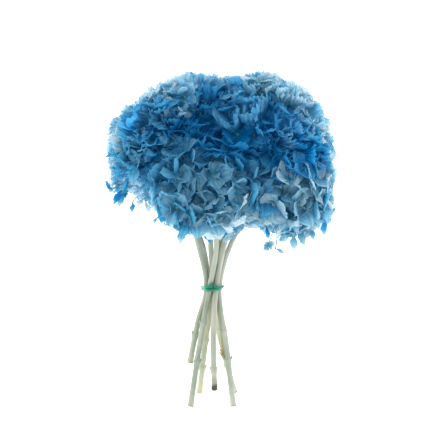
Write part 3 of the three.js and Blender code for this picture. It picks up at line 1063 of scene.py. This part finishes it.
@dataclass
class Sepal:
    """One petal-like sepal, lying along +Y from its narrow base, with its upper face to +Z."""

    width: float
    keel: float
    pleat: float
    frill: float
    curl: float
    twist: float
    ruffle: float
    length: float = 17.0
    fray: float = 0.8
    widths: tuple[float, ...] = (0.12, 0.50, 0.88, 1.0, 0.80, 0.30)
    columns: int = 4
    uneven: float = 0.16
    wave: float = 6.0
    thickness: float = 0.35

    def build(self, draw: random.Random) -> Piece:
        """Models the sepal.

        Args:
            draw: Where its chances come from.

        Returns:
            The sepal.
        """
        rows = len(self.widths) - 1
        step = self.length * MM / rows
        bpy.ops.mesh.primitive_grid_add(x_subdivisions=self.columns, y_subdivisions=rows, size=MM)
        sepal = bpy.context.object
        edit(sepal)
        bpy.ops.mesh.select_all(action="SELECT")
        bpy.ops.transform.translate(value=(0, MM / 2, 0))
        bpy.ops.transform.resize(value=(self.width, self.length, 1), center_override=(0, 0, 0))
        self._fold(sepal, step, draw)
        for row, width in enumerate(self.widths):
            select_points(sepal, lambda spot: abs(spot.y - row * step) < step / 4)
            uneven = 1 + self.uneven * (draw.random() - 0.5)
            bpy.ops.transform.resize(value=(width * uneven, 1, 1), center_override=(0, 0, 0))
        self._frill(sepal, step, draw)
        finish_edit()
        self._ruffle(sepal, Vector([draw.uniform(-1, 1) for _ in range(3)]))
        self._curl(sepal, rows, step, draw)
        sheet = sepal.modifiers.new("thickness", "SOLIDIFY")
        sheet.thickness = self.thickness * MM
        sheet.offset = 0
        apply_modifiers(sepal)
        return sepal

    def _fold(self, sepal: Piece, step: float, draw: random.Random) -> None:
        """Folds the flat sheet down its middle and pleats its halves.

        Args:
            sepal: The sheet, in edit mode.
            step: The distance between its rows of points.
            draw: Where its chances come from.
        """
        half = self.width * MM / 2
        for column in range(self.columns + 1):
            share = 2 * column / self.columns - 1
            select_points(sepal, lambda spot: abs(spot.x / half - share) < 0.1 and spot.y > step / 2)
            crease = self.pleat * (-1) ** column * draw.uniform(0.4, 1.4)
            lift = (crease - self.keel * (1 - abs(share)) * draw.uniform(0.7, 1.2)) * MM
            bpy.ops.transform.translate(value=(0, 0, lift))

    def _frill(self, sepal: Piece, step: float, draw: random.Random) -> None:
        """Waves the rim and draws the tip out to a blunt point.

        Args:
            sepal: The sheet, in edit mode.
            step: The distance between its rows of points.
            draw: Where its chances come from.
        """
        rows = len(self.widths) - 1
        for row in range(2, rows):
            half = self.width * self.widths[row] * MM / 2
            for side in (-1, 1):
                select_points(
                    sepal, lambda spot: abs(spot.y - row * step) < step / 4 and spot.x * side > 0.7 * half
                )
                wave = [draw.uniform(-0.5, 0.5), draw.uniform(-0.8, 0.8), draw.uniform(-1, 1) * self.frill]
                bpy.ops.transform.translate(value=[part * MM for part in wave])
        half = self.width * MM * self.widths[-1] / 2
        near = 0.9 / self.columns
        for column in range(self.columns + 1):
            share = 2 * column / self.columns - 1
            select_points(
                sepal, lambda spot: spot.y > (rows - 0.3) * step and abs(spot.x / half - share) < near
            )
            reach = 0.8 - 1.8 * share * share + (-1) ** column * self.fray * draw.uniform(0.2, 1.2)
            wave = [0, reach, draw.uniform(-0.8, 0.8) * self.frill]
            bpy.ops.transform.translate(value=[part * MM for part in wave])

    def _ruffle(self, sepal: Piece, clouds_at: Vector) -> None:
        """Waves the sepal's face by the clouds at a place of its own, in metres."""
        sepal.location = clouds_at
        bpy.context.view_layer.update()
        crumple(sepal, self.wave * MM, 2 * self.ruffle * MM, "Z", "GLOBAL", "GRAYSCALE")
        sepal.location = (0, 0, 0)

    def _curl(self, sepal: Piece, rows: int, step: float, draw: random.Random) -> None:
        """Bends and twists the sepal row by row, from its tip back to its base.

        Args:
            sepal: The sepal.
            rows: How many rows of faces it has.
            step: The distance between them.
            draw: Where its chances come from.
        """
        edit(sepal)
        for row in range(rows - 1, 0, -1):
            select_points(sepal, lambda spot: spot.y > (row + 0.3) * step)
            hinge = (0, row * step, 0)
            turn = math.radians(self.curl / (rows - 1)) * draw.uniform(0.3, 1.7)
            wring = math.radians(self.twist / (rows - 1))
            bpy.ops.transform.rotate(value=-turn, orient_axis="X", center_override=hinge)
            bpy.ops.transform.rotate(value=-wring, orient_axis="Y", center_override=hinge)
        finish_edit()


@dataclass(frozen=True)
class Habit:
    """How the florets of one kind grow.

    A sepal stands up from the floret's plane by an angle in the range of rise. The floret sits below
    its tips by sunk. Each of a sepal's sizes is fixed, or drawn in this order where it is a pair.
    """

    rise: Range
    sunk: float
    sizes: dict[str, int | float | tuple[float, ...]]

    def sepal(self, draw: random.Random) -> Sepal:
        """Chooses a sepal's sizes.

        Args:
            draw: Where its chances come from.

        Returns:
            The sepal.
        """
        chosen = {}
        for name, size in self.sizes.items():
            chosen[name] = draw.uniform(*size) if isinstance(size, tuple) and len(size) == 2 else size
        return Sepal(**chosen)


HABITS = {
    Bloom.OPEN: Habit((5, 42), 3.0, {
        "width": (14.0, 18.0), "keel": (-0.8, 2.0), "pleat": (0.1, 0.4), "frill": 0.8,
        "curl": (-30, 20), "twist": (-20, 20), "ruffle": (0.8, 2.0),
    }),
    Bloom.CUPPED: Habit((28, 60), 10.0, {
        "width": (13.0, 17.0), "keel": (0.4, 2.8), "pleat": (0.2, 0.9), "frill": 1.6,
        "curl": (-65, 20), "twist": (-40, 40), "ruffle": (2.0, 3.8),
    }),
    Bloom.CRUMPLED: Habit((45, 84), 14.0, {
        "width": (11.0, 15.0), "keel": (1.4, 4.2), "pleat": (0.4, 1.6), "frill": 2.4, "fray": 1.2,
        "curl": (-70, 35), "twist": (-75, 75), "ruffle": (2.6, 5.0),
    }),
    Bloom.FAN: Habit((40, 78), 13.0, {
        "width": (13.0, 18.0), "keel": (-1.5, 2.5), "pleat": (0.7, 1.3), "frill": 0.8, "fray": 1.5,
        "curl": (-35, 20), "twist": (-30, 30), "ruffle": (0.8, 2.0),
        "length": 19.0, "widths": (0.14, 0.46, 0.80, 1.0, 0.98), "columns": 8,
    }),
    Bloom.LONE: Habit((80, 90), 0.0, {
        "width": (7.0, 10.5), "keel": (0.5, 1.5), "pleat": 0.3, "frill": 0.6, "fray": 0.3,
        "curl": (-30, 30), "twist": (-30, 30), "ruffle": 1.2,
        "length": 20.0, "widths": (0.14, 0.56, 0.92, 1.0, 0.66, 0.14),
    }),
}


@dataclass
class Floret:
    """A floret that faces +Z: its sepals round a small bead, on a thin stalk."""

    bloom: Bloom
    bead: float = 1.3
    bead_height: float = 1.2
    stalk: float = 15.0
    stalk_radius: float = 0.55
    aside: float = 0.8
    layer: float = 0.7
    sizes: Range = (0.78, 1.1)

    def build(self, draw: random.Random, name: str) -> Piece:
        """Models the floret.

        Args:
            draw: Where its chances come from.
            name: The floret's name.

        Returns:
            The floret.
        """
        habit = HABITS[self.bloom]
        alone = self.bloom is Bloom.LONE
        start = draw.uniform(-0.6, 0.6) if alone else draw.uniform(0, math.tau)
        sepals = []
        for number in range(1 if alone else 4):
            sepal = habit.sepal(draw).build(draw)
            note(sepal, "petal", "FLOAT", 1.0)
            heading = start + number * math.tau / 4 + draw.uniform(-0.3, 0.3)
            size = Matrix.Scale(draw.uniform(*self.sizes), 4)
            away = Matrix.Translation((0, self.aside * MM, (number % 2) * self.layer * MM))
            rise = Matrix.Rotation(math.radians(draw.uniform(*habit.rise)), 4, "X")
            sepal.matrix_world = Matrix.Rotation(heading, 4, "Z") @ away @ rise @ size
            sepals.append(sepal)
        bpy.ops.mesh.primitive_ico_sphere_add(
            subdivisions=1, radius=self.bead * MM, location=(0, 0, self.bead_height * MM)
        )
        bead = bpy.context.object
        bpy.ops.mesh.primitive_cone_add(
            vertices=4,
            radius1=self.stalk_radius * 0.7 * MM,
            radius2=self.stalk_radius * 1.4 * MM,
            depth=self.stalk * MM,
            location=(0, 0, (0.4 - self.stalk / 2) * MM),
        )
        stalk = bpy.context.object
        for piece in (bead, stalk):
            note(piece, "petal", "FLOAT", 0.0)
        return join([*sepals, bead, stalk], name)


@dataclass(frozen=True)
class Seat:
    """Where a floret goes in its head."""

    direction: Vector
    reach: float
    valley: float
    inner: bool


@dataclass
class Head:
    """A flower head: a dense dark middle with florets all over what shows of it."""

    flower: Flower
    florets: dict[Bloom, list[Piece]]
    outer_count: int = 210
    inner_count: int = 80
    inner_share: float = 0.76
    core_share: float = 0.60
    core_grain: float = 14.0
    core_crumple: float = 12.0
    seat_depth: float = 2.0
    seat_spread: float = 6.0
    valley_fill: float = 8.0
    valley_width: float = 30.0
    overhang: float = 4.0
    lean: float = 0.42
    flare: float = 1.05
    sizes: Range = (0.82, 1.15)
    pressed_room: float = 0.80
    side_on: float = 0.45
    edge_stretch: float = 1.16
    rim_room: Range = (-3.0, 5.0)
    # Painted light at the heads' outline: how much a floret is paled towards MILK, and the depth inside the
    # outline over which that fades out.
    painted_rim_light: Range = (0.15, 0.85)
    painted_rim_light_depth: Range = (2, 18)
    underside: Range = (-0.45, 0.0)
    hem_share: float = 0.5
    box_room: float = 2.5
    pull: float = 14.0
    hem_pull: float = 6.0
    hem: float = 112.0
    smooth_angle: float = 38.0
    draw: random.Random = field(init=False)
    dye_draw: random.Random = field(init=False)
    centre: Vector = field(init=False)

    def __post_init__(self) -> None:
        """Seeds the head's own chances, with others for its dye."""
        self.draw = random.Random(self.flower.seed)
        self.dye_draw = random.Random(self.flower.seed + 500)
        self.centre = Vector(self.flower.centre)

    def sides(self) -> list[tuple[Vector, float]]:
        """Gives the flat sides shared with the neighbours.

        Returns:
            The way to each side and how far off it is, in millimetres.
        """
        found = []
        for other in FLOWERS:
            if other is not self.flower:
                way = Vector(other.centre) - self.centre
                share = way.length / 2 + (self.flower.radius**2 - other.radius**2) / (2 * way.length)
                found.append((way.normalized(), share - HEAD_GAP / 2))
        return found

    def to_edge(self, direction: Vector, reach: float) -> float:
        """Brings the florets that make the outline to the heads' edge.

        Args:
            direction: The floret's way out from the head's middle.
            reach: How far out its tips would be, in millimetres.

        Returns:
            How far out they are.
        """
        room = edge_from(self.flower.centre, direction) - self.rim_room[1]
        outlines = abs(direction.z) < self.side_on and reach < room < self.edge_stretch * reach
        return room if outlines else reach

    def draw_in(self, matrix: Matrix, points: np.ndarray) -> Matrix | None:
        """Draws a floret in until it is inside the heads' edge and the bunch's size.

        Args:
            matrix: Where the floret would be, in metres.
            points: The places of its points, in metres, with a 1 after each.

        Returns:
            Where it is, or nothing if it would have to go too far.
        """
        start = matrix.translation.copy()
        room = self.draw.uniform(*self.rim_room)
        aim = np.array(CAMERA_AIM[:2])
        for _ in range(2):
            places = (points[::3] @ np.array(matrix).T)[:, :3] / MM
            nearer = CAMERA_DISTANCE / (CAMERA_DISTANCE - places[:, 2:])
            short = room - inside_edge(aim + (places[:, :2] - aim) * nearer).min()
            home = self.centre * MM - matrix.translation
            home.z = 0
            if short > 0 and home.length > 0.25 * self.flower.radius * MM:
                matrix = Matrix.Translation(home.normalized() * short * MM) @ matrix
        for axis, end in ((0, 0), (0, 1), (1, 1), (2, 1)):
            way = 2 * end - 1
            places = (points @ np.array(LAY @ matrix).T)[:, axis] * way
            over = places.max() + self.box_room * MM - CAD_BOX[end][axis] * way
            if over > 0:
                push = Vector((0, 0, 0))
                push[axis] = -over * way
                matrix = Matrix.Translation(LAY.to_3x3().inverted() @ push) @ matrix
        pull = self.hem_pull if start.y < self.hem * MM else self.pull
        return None if (matrix.translation - start).length > pull * MM else matrix

    def seats(self) -> list[Seat]:
        """Spreads the florets' seats over what shows of the head.

        Returns:
            The seats.
        """
        flower = self.flower
        sides = self.sides()
        resting = (LAY @ (self.centre * MM)).z < flower.radius * MM
        turn = Matrix.Rotation(self.draw.uniform(0, math.tau), 3, "Z")
        turn = Matrix.Rotation(self.draw.uniform(0, math.tau), 3, "X") @ turn
        found = []
        layers = ((self.outer_count, 1.0, False), (self.inner_count, self.inner_share, True))
        for count, share, inner in layers:
            for index in range(count):
                height = 1 - 2 * (index + 0.5) / count
                across = math.sqrt(1 - height * height)
                angle = GOLDEN_ANGLE * index
                direction = Vector((across * math.cos(angle), across * math.sin(angle), height))
                direction = (turn @ direction).normalized()
                reach = share * (flower.radius - self.seat_depth)
                past = max(reach * direction.dot(way) - side for way, side in sides)
                if past > self.overhang or (resting and direction.dot(DOWN) > self.pressed_room):
                    continue
                valley = smoothstep(past, -self.valley_width, 0)
                reach = self.to_edge(direction, reach + self.valley_fill * valley)
                reach += self.seat_spread * (self.draw.random() - 0.6)
                if direction.z > -0.3:
                    spot = self.centre + direction * reach
                    reach -= sum(wash.depth * wash.share(spot) for wash in WASHES)
                found.append(Seat(direction, reach, valley, inner))
        return found

    def core(self) -> Piece:
        """Models the dense middle, cut flat at the sides shared with the neighbours.

        Returns:
            The middle.
        """
        bpy.ops.mesh.primitive_ico_sphere_add(
            subdivisions=4, radius=self.flower.radius * self.core_share * MM, location=self.centre * MM
        )
        core = bpy.context.object
        settle(core)
        crumple(core, self.core_grain * MM, self.core_crumple * MM, "NORMAL")
        edit(core)
        for way, side in self.sides():
            bpy.ops.mesh.select_all(action="SELECT")
            cut = (self.centre + way * side) * MM
            bpy.ops.mesh.bisect(plane_co=cut, plane_no=way, use_fill=True, clear_outer=True)
        finish_edit()
        note(core, "petal", "FLOAT", 1.0)
        note(core, "tint", "FLOAT_COLOR", (*Blue.ROYAL.value, 0.5))
        return core

    def shade(self, seat: Seat, spot: Vector) -> Vector:
        """Chooses a floret's colour, with painted light at the heads' outline and hems and painted shade in
        the valleys and on the inner florets.

        Args:
            seat: Where the floret is in its head.
            spot: Where it is in the bunch, in millimetres.

        Returns:
            Its linear colour.
        """
        blues = self.flower.blues
        draw = random.Random(self.dye_draw.random())
        base, other = draw.choices([Vector(blue.value) for blue in blues], list(blues.values()), k=2)
        rim = draw.uniform(*self.painted_rim_light)
        light = draw.uniform(0.8, 1.2)
        colour = base.lerp(other, 0.5)
        facing = seat.direction.z + self.hem_share * max(-seat.direction.y, 0)
        shown = smoothstep(facing, *self.underside)
        # The washes lay colour over the florets that show: unevenly taken colour, and painted light and
        # shade.
        for wash in WASHES:
            share = wash.strength * wash.share(spot) * draw.uniform(0.75, 1.0)
            colour = colour.lerp(Vector(wash.blue.value), share * shown)
        # Painted light: florets near the heads' outline are paled towards MILK, for light that comes through
        # the rims from behind.
        rim *= shown
        rim *= 1 - smoothstep(float(inside_edge(np.array([spot[:2]]))[0]), *self.painted_rim_light_depth)
        colour = colour.lerp(Vector(Blue.MILK.value), rim)
        # Painted shade: florets in the valleys between heads and in the inner layer are darkened towards
        # DEEP.
        depth = 0.35 * seat.valley + (0.45 if seat.inner else 0.0)
        return colour.lerp(Vector(Blue.DEEP.value), min(depth, 0.8)) * light

    def build(self) -> Piece:
        """Models the head.

        Returns:
            The head, laid down with the bunch.
        """
        name = self.flower.name
        pieces = [self.core()]
        pieces += [floret for floret in map(self.floret, self.seats()) if floret]
        pieces += [self.stray(stray) for stray in STRAYS.get(name, ())]
        head = join(pieces, f"{name}_head")
        for grain, depth in ((12, 5), (4, 2)):
            crumple(head, grain * MM, depth * MM, "RGB_TO_XYZ")
        lay(head)
        for axis in range(3):
            for end in (0, 1):
                self.press(head, axis, end)
        pick(head)
        bpy.ops.object.shade_smooth_by_angle(angle=math.radians(self.smooth_angle))
        return head

    def floret(self, seat: Seat) -> Piece | None:
        """Sets a floret in its seat.

        Args:
            seat: The seat.

        Returns:
            The floret, or nothing where there is no room for it.
        """
        blooms = self.flower.blooms
        bloom = self.draw.choices(list(blooms), list(blooms.values()))[0]
        if seat.inner:
            bloom = Bloom.CRUMPLED
        scale = self.flower.sepal / Sepal.length
        sunk = HABITS[bloom].sunk * scale
        tips = self.centre + seat.direction * seat.reach
        lean = Vector([self.draw.uniform(-1, 1) for _ in range(3)]) * self.lean
        flare = Vector((tips.x - 10, 1.2 * (tips.y - self.hem), 0)) * self.flare / 120
        turn = facing_along((seat.direction + lean + flare).normalized())
        spin = Matrix.Rotation(self.draw.uniform(0, math.tau), 4, "Z")
        size = Matrix.Scale(scale * self.draw.uniform(*self.sizes), 4)
        spot = self.centre + seat.direction * (seat.reach - sunk)
        master = self.draw.choice(self.florets[bloom])
        place = self.draw_in(Matrix.Translation(spot * MM) @ turn @ spin @ size, points_of(master))
        if place is None:
            return None
        floret = copy_of(master, place)
        note(floret, "tint", "FLOAT_COLOR", (*self.shade(seat, tips), self.draw.random()))
        return floret

    def stray(self, stray: Stray) -> Piece:
        """Hangs a loose floret on the head.

        Args:
            stray: The loose floret.

        Returns:
            The floret on its stalk.
        """
        master = self.draw.choice(self.florets[stray.bloom])
        spot = Vector(stray.spot)
        across = stray.size * self.flower.sepal / Sepal.length
        size = Matrix.Diagonal((across, across, across * stray.stretch, 1.0))
        turn = facing_along(Vector(stray.facing).normalized())
        floret = copy_of(master, Matrix.Translation(spot * MM) @ turn @ size)
        note(floret, "tint", "FLOAT_COLOR", (*stray.blue.value, self.draw.random()))
        bpy.ops.mesh.primitive_cone_add(vertices=5, radius1=0.65 * MM, radius2=0.65 * MM, depth=30 * MM)
        stalk = bpy.context.object
        note(stalk, "petal", "FLOAT", 0.25)
        note(stalk, "tint", "FLOAT_COLOR", (*Blue.MIST.value, 0.0))
        home = (self.centre - spot).normalized()
        stalk.matrix_world = Matrix.Translation((spot + home * 14) * MM) @ facing_along(home)
        return join([floret, stalk], "loose_floret")

    def press(self, head: Piece, axis: int, end: int, room: float = 5.0) -> None:
        """Presses what would go through the table or out of the bunch's size back in.

        Args:
            head: The head, laid down.
            axis: The direction that it is pressed in: 0, 1 or 2 for x, y or z.
            end: Which end of the bunch: 0 for the low one and 1 for the high one.
            room: The depth over which it is pressed together, in millimetres.
        """
        way = 2 * end - 1
        side = CAD_BOX[end][axis] * way
        farthest = max(corner[axis] * way for corner in head.bound_box)
        if farthest <= side:
            return
        start = side - room * MM
        edit(head)
        select_points(head, lambda spot: spot[axis] * way > start)
        squeeze, centre = [1.0, 1.0, 1.0], [0.0, 0.0, 0.0]
        squeeze[axis] = room * MM / (farthest - start)
        centre[axis] = start * way
        bpy.ops.transform.resize(value=squeeze, center_override=centre)
        finish_edit()
        head.data.update()


@dataclass
class Stem:
    """A bare stem with its leaf nodes and their buds, from its cut end into its head."""

    flower: Flower
    seed: int
    sides: int = 14
    spacing: float = 4.0
    taper: float = 0.8
    swell: float = 0.28
    swell_length: float = 2.6
    swell_rings: tuple[float, ...] = (-3.6, -2.4, -1.2, 0.0, 1.2, 2.4, 3.6)
    cut_round: float = 0.8
    cut_swell: float = 0.08
    cut_length: float = 6.0
    pith: float = 0.42
    pith_depth: float = 0.5
    bud_radius: float = 1.4
    bud_tip: float = 0.8
    bud_lean: float = 0.62
    smooth_angle: float = 40.0
    path: Path = field(init=False)
    draw: random.Random = field(init=False)
    nodes: set[float] = field(init=False)

    def __post_init__(self) -> None:
        """Lays out the stem's line and the places of its leaf nodes."""
        self.path = Path(self.flower.route)
        self.draw = random.Random(self.seed)
        self.nodes = {node for node, _, _ in self.flower.leaf_nodes}

    def radius(self, at: float) -> float:
        """Gives the stem's radius at a distance from its cut end, in millimetres.

        Args:
            at: The distance.

        Returns:
            The radius.
        """
        taper = 1 + (self.taper - 1) * at / self.path.length
        swell = self.swell * sum(math.exp(-(((at - node) / self.swell_length) ** 2)) for node in self.nodes)
        swell += self.cut_swell * math.exp(-((at / self.cut_length) ** 2))
        return STEM_RADIUS * taper * (1 + swell)

    def rings(self) -> list[float]:
        """Spaces the stem's rings of points, closer at its leaf nodes.

        Returns:
            Their distances from the cut end, in millimetres.
        """
        count = round(self.path.length / self.spacing)
        marks = {round(i * self.path.length / count, 3) for i in range(1, count + 1)}
        for node in self.nodes:
            marks = {at for at in marks if abs(at - node) > 4.5}
            marks |= {node + shift for shift in self.swell_rings}
        return sorted(at for at in marks if at > 2)

    def shaft(self) -> Piece:
        """Models the stem straight, ring by ring, and bends it along its line.

        Returns:
            The shaft.
        """
        end = self.radius(0) - self.cut_round
        bpy.ops.mesh.primitive_circle_add(vertices=self.sides, radius=end * MM, fill_type="NGON")
        shaft = bpy.context.object
        edit_all(shaft)
        before, girth = 0.0, end
        shoulder = (1 - math.sqrt(0.5)) * self.cut_round
        for at in (shoulder, self.cut_round, *self.rings()):
            wider = self.radius(at) * self.draw.uniform(0.98, 1.02)
            wider -= shoulder if at == shoulder else 0
            grow = wider / girth
            bpy.ops.mesh.extrude_region_move(TRANSFORM_OT_translate={"value": (0, 0, (at - before) * MM)})
            bpy.ops.transform.resize(value=(grow, grow, 1), center_override=(0, 0, at * MM))
            before, girth = at, wider
        finish_edit()
        self._sink_pith(shaft, end * (1 - self.pith))
        edit_all(shaft)
        bpy.ops.mesh.normals_make_consistent(inside=False)
        finish_edit()
        crumple(shaft, 9 * MM, 0.35 * MM, "NORMAL")
        note(shaft, "grain", "FLOAT_VECTOR", points_of(shaft)[:, :3])
        line = line_of("stem_line", self.path.points)
        line.data.twist_mode = "MINIMUM"
        bend = shaft.modifiers.new("bend", "CURVE")
        bend.object = line
        bend.deform_axis = "POS_Z"
        apply_modifiers(shaft)
        delete([line])
        return shaft

    def _sink_pith(self, shaft: Piece, rim: float) -> None:
        """Sinks the soft middle of the cut end a little.

        Args:
            shaft: The straight shaft.
            rim: How wide the hard rim round the pith is, in millimetres.
        """
        edit(shaft)
        bpy.ops.mesh.select_mode(type="FACE")
        mesh = bmesh.from_edit_mesh(shaft.data)
        for face in mesh.faces:
            face.select = face.calc_center_median().z < 0.01 * MM
        bmesh.update_edit_mesh(shaft.data)
        bpy.ops.mesh.inset(thickness=rim * MM)
        bpy.ops.transform.translate(value=(0, 0, self.pith_depth * MM))
        finish_edit()

    def bud(self, at: float, side: float, length: float) -> Piece:
        """Models a bud, or what is left of a leaf's stalk, that leans up and out from a leaf node.

        Args:
            at: The node's distance from the cut end, in millimetres.
            side: The angle round the stem, in degrees.
            length: Its length, in millimetres.

        Returns:
            The bud.
        """
        tangent = self.path.tangent(at)
        across = (Vector((1, 0, 0)) - tangent * tangent.x).normalized()
        out = Matrix.Rotation(math.radians(side), 3, tangent) @ across
        lean = (tangent + out * self.bud_lean).normalized()
        bpy.ops.mesh.primitive_cone_add(
            vertices=8, radius1=self.bud_radius * MM, radius2=self.bud_tip * MM, depth=length * MM
        )
        bud = bpy.context.object
        edit_all(bud)
        bpy.ops.mesh.bisect(plane_co=(0, 0, 0), plane_no=(0, 0, 1))
        bpy.ops.transform.resize(value=(1.35, 1.15, 1), center_override=(0, 0, 0))
        finish_edit()
        bevel = bud.modifiers.new("soft", "BEVEL")
        bevel.width = 0.4 * MM
        bevel.segments = 2
        apply_modifiers(bud)
        note(bud, "grain", "FLOAT_VECTOR", points_of(bud)[:, :3] + (0, 0, at * MM))
        seat = self.path.at(at) + out * (self.radius(at) * 0.72) + lean * (length * 0.3)
        bud.matrix_world = Matrix.Translation(seat * MM) @ facing_along(lean)
        return bud

    def build(self) -> Piece:
        """Models the stem.

        Returns:
            The stem, laid down with the bunch.
        """
        buds = [self.bud(*node) for node in self.flower.leaf_nodes]
        stem = join([self.shaft(), *buds], f"{self.flower.name}_stem")
        lay(stem)
        bpy.ops.object.shade_smooth_by_angle(angle=math.radians(self.smooth_angle))
        return stem


@dataclass
class Band:
    """The green band: one loop wound twice round the stems, thick in front and thin at one side."""

    radius: float = 1.35
    gap: float = 0.3
    spread: float = 1.5
    aside: float = 0.2
    drop: float = 1.2
    loop_angle: float = 0.52 * math.pi
    loop_rise: float = 4.0
    loop_sway: float = 0.30
    side_rise: float = 2.8
    side_sway: float = 0.4
    steps: int = 200

    def looped(self, share: float) -> float:
        """Gives how far a place on the band's line is raised into its small loop, from 0 to 1."""
        return math.exp(-(((4 * math.pi * share - self.loop_angle) / self.loop_sway) ** 2))

    def girth(self, share: float) -> float:
        """Gives how thick the band is at a place on its line, against its usual radius."""
        angle = 4 * math.pi * share
        return 0.85 + 0.4 * math.sin(angle) - 0.25 * math.cos(angle) - 0.5 * self.looped(share)

    def spot(self, share: float) -> Vector:
        """Gives a place on the band's line.

        Args:
            share: How far along the line the place is, from 0 to 1.

        Returns:
            The place, in millimetres.
        """
        angle = 4 * math.pi * share
        corner = math.cos(math.pi / 6)
        hexagon = corner + (1 - corner) * (0.5 + 0.5 * math.cos(6 * angle))
        to_right = (1 + math.cos(angle)) / 2
        wrap = TIE_RING * hexagon + STEM_RADIUS + self.gap + self.radius * self.girth(share)
        reach = wrap + self.aside * to_right * (1 + math.cos(angle / 2))
        height = self.spread * math.sin(angle / 2) - self.drop
        height += self.loop_rise * self.looped(share)
        off_right = math.asin(math.sin(angle / 2))
        height += self.side_rise * math.exp(-((2 * off_right / self.side_sway) ** 2))
        return Vector((TIE_ASIDE + reach * math.cos(angle), height, reach * math.sin(angle)))

    def build(self) -> Piece:
        """Models the band.

        Returns:
            The band, laid down with the bunch.
        """
        shares = [number / self.steps for number in range(self.steps)]
        line = line_of("band", [self.spot(share) for share in shares])
        line.data.bevel_depth = self.radius * MM
        line.data.bevel_resolution = 3
        line.data.splines[0].use_cyclic_u = True
        for place, share in zip(line.data.splines[0].points, shares):
            place.radius = self.girth(share)
        pick(line)
        bpy.ops.object.convert(target="MESH")
        band = bpy.context.object
        lay(band)
        band.name = band.data.name = "elastic_band"
        bpy.ops.object.shade_smooth()
        return band


# Each soft light's name, its place and the length of its sides in metres, and its power in watts.
LAMPS = (
    ("key", (-0.6, 0.9, 1.2), 0.8, 5.0),
    ("left_rim", (-1.1, 0.1, 0.35), 0.6, 3.5),
    ("right_rim", (1.1, 0.1, 0.35), 0.6, 3.5),
    ("hem", (0.1, -1.2, 0.45), 0.8, 5.5),
)


@dataclass
class Studio:
    """The table, the soft lights and the camera that looks down on the bunch."""

    lens: float = 120.0
    table_size: float = 12.0
    daylight: float = 1.08
    heads: Spot = (0, 0.06, 0.08)

    def table(self) -> Piece:
        """Lays the table top.

        Returns:
            The table top.
        """
        bpy.ops.mesh.primitive_plane_add(size=self.table_size)
        table = bpy.context.object
        table.name = "table"
        table.data.materials.append(TableFinish().make())
        return table

    def lamp(self, name: str, spot: Spot, size: float, power: float) -> None:
        """Hangs a square soft light that faces the heads.

        Args:
            name: The light's name.
            spot: Where it hangs, in metres.
            size: The length of its sides, in metres.
            power: Its power, in watts.
        """
        bpy.ops.object.light_add(type="AREA", location=spot)
        lamp = bpy.context.object
        lamp.name = name
        lamp.data.size = size
        lamp.data.energy = power
        lamp.rotation_euler = (Vector(self.heads) - Vector(spot)).to_track_quat("-Z", "Y").to_euler()

    def camera(self) -> None:
        """Sets the camera square to the bunch's own length, above it."""
        turn = LAY.to_3x3()
        bpy.ops.object.camera_add()
        camera = bpy.context.object
        camera.data.lens = self.lens
        camera.data.sensor_width = 36
        place = LAY @ (Vector(CAMERA_AIM) * MM) + turn @ Vector((0, 0, CAMERA_DISTANCE * MM))
        camera.matrix_world = Matrix.Translation(place) @ turn.to_4x4()
        bpy.context.scene.camera = camera

    def build(self) -> None:
        """Sets up the studio."""
        self.table()
        world = bpy.data.worlds.new("studio")
        world.use_nodes = True
        sky = world.node_tree.nodes["Background"]
        sky.inputs["Color"].default_value = (1.0, 1.0, 1.0, 1.0)
        sky.inputs["Strength"].default_value = self.daylight
        bpy.context.scene.world = world
        for lamp in LAMPS:
            self.lamp(*lamp)
        self.camera()
        bpy.context.scene.view_settings.view_transform = "Standard"


STEM_FINISHES = {
    "upper_left": StemFinish((0.28, 0.34, 0.26), (0.41, 0.42, 0.33), (0.30, 0.26, 0.16)),
    "upper_right": StemFinish((0.30, 0.34, 0.26), (0.43, 0.43, 0.37), (0.050, 0.058, 0.044), 0.0095),
    "front": StemFinish((0.23, 0.29, 0.23), (0.35, 0.38, 0.31), (0.26, 0.23, 0.16), scar=0.071),
    "right": StemFinish((0.29, 0.34, 0.27), (0.42, 0.43, 0.37), (0.28, 0.23, 0.16), scar=0.036),
    "left": StemFinish((0.38, 0.41, 0.34), (0.50, 0.50, 0.45), (0.30, 0.26, 0.18)),
    "back": StemFinish((0.33, 0.38, 0.17), (0.46, 0.48, 0.24), (0.30, 0.17, 0.04), 0.013, (0.14, 0.20, 0.16)),
    "top": StemFinish((0.40, 0.44, 0.31), (0.54, 0.54, 0.40), (0.52, 0.45, 0.27), 0.004),
}
# How far round the cut ends are worn where it differs from the others, in millimetres.
WORN_ENDS = {"upper_right": 2.4}

FLORET_SEED = 5
STEM_SEED = 80
FLORETS_OF_A_KIND = 7


def dress(piece: Piece, node: str, material: bpy.types.Material) -> None:
    """Gives a piece its finish and puts it in place of its node.

    Args:
        piece: The piece.
        node: The node that it replaces.
        material: Its material.
    """
    piece.data.materials.clear()
    piece.data.materials.append(material)
    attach(piece, "root")
    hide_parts(node)
    log.info("%s: %d points, %d faces", piece.name, len(piece.data.vertices), len(piece.data.polygons))


def main() -> None:
    """Builds the bunch piece by piece and sets up the studio."""
    logging.basicConfig(level=logging.INFO, format="%(message)s")
    deselect_all()
    draw = random.Random(FLORET_SEED)
    florets = {
        bloom: [Floret(bloom).build(draw, f"{bloom.value}_floret_{i}") for i in range(FLORETS_OF_A_KIND)]
        for bloom in Bloom
    }
    finishes = {slot: PetalFinish(slot).make() for slot in ("petals_deep", "petals_pale")}
    for flower in FLOWERS:
        dress(Head(flower, florets).build(), f"head_{flower.name}", finishes[flower.slot])
    delete([floret for kind in florets.values() for floret in kind])
    for order, flower in enumerate(FLOWERS):
        finish = STEM_FINISHES[flower.name].make(f"stem_{flower.name}")
        worn = WORN_ENDS.get(flower.name, Stem.cut_round)
        stem = Stem(flower, seed=STEM_SEED + order, cut_round=worn).build()
        dress(stem, f"stem_{flower.name}", finish)
    dress(Band().build(), "tie_band", BandFinish().make())
    Studio().build()


if __name__ == "__main__":
    main()
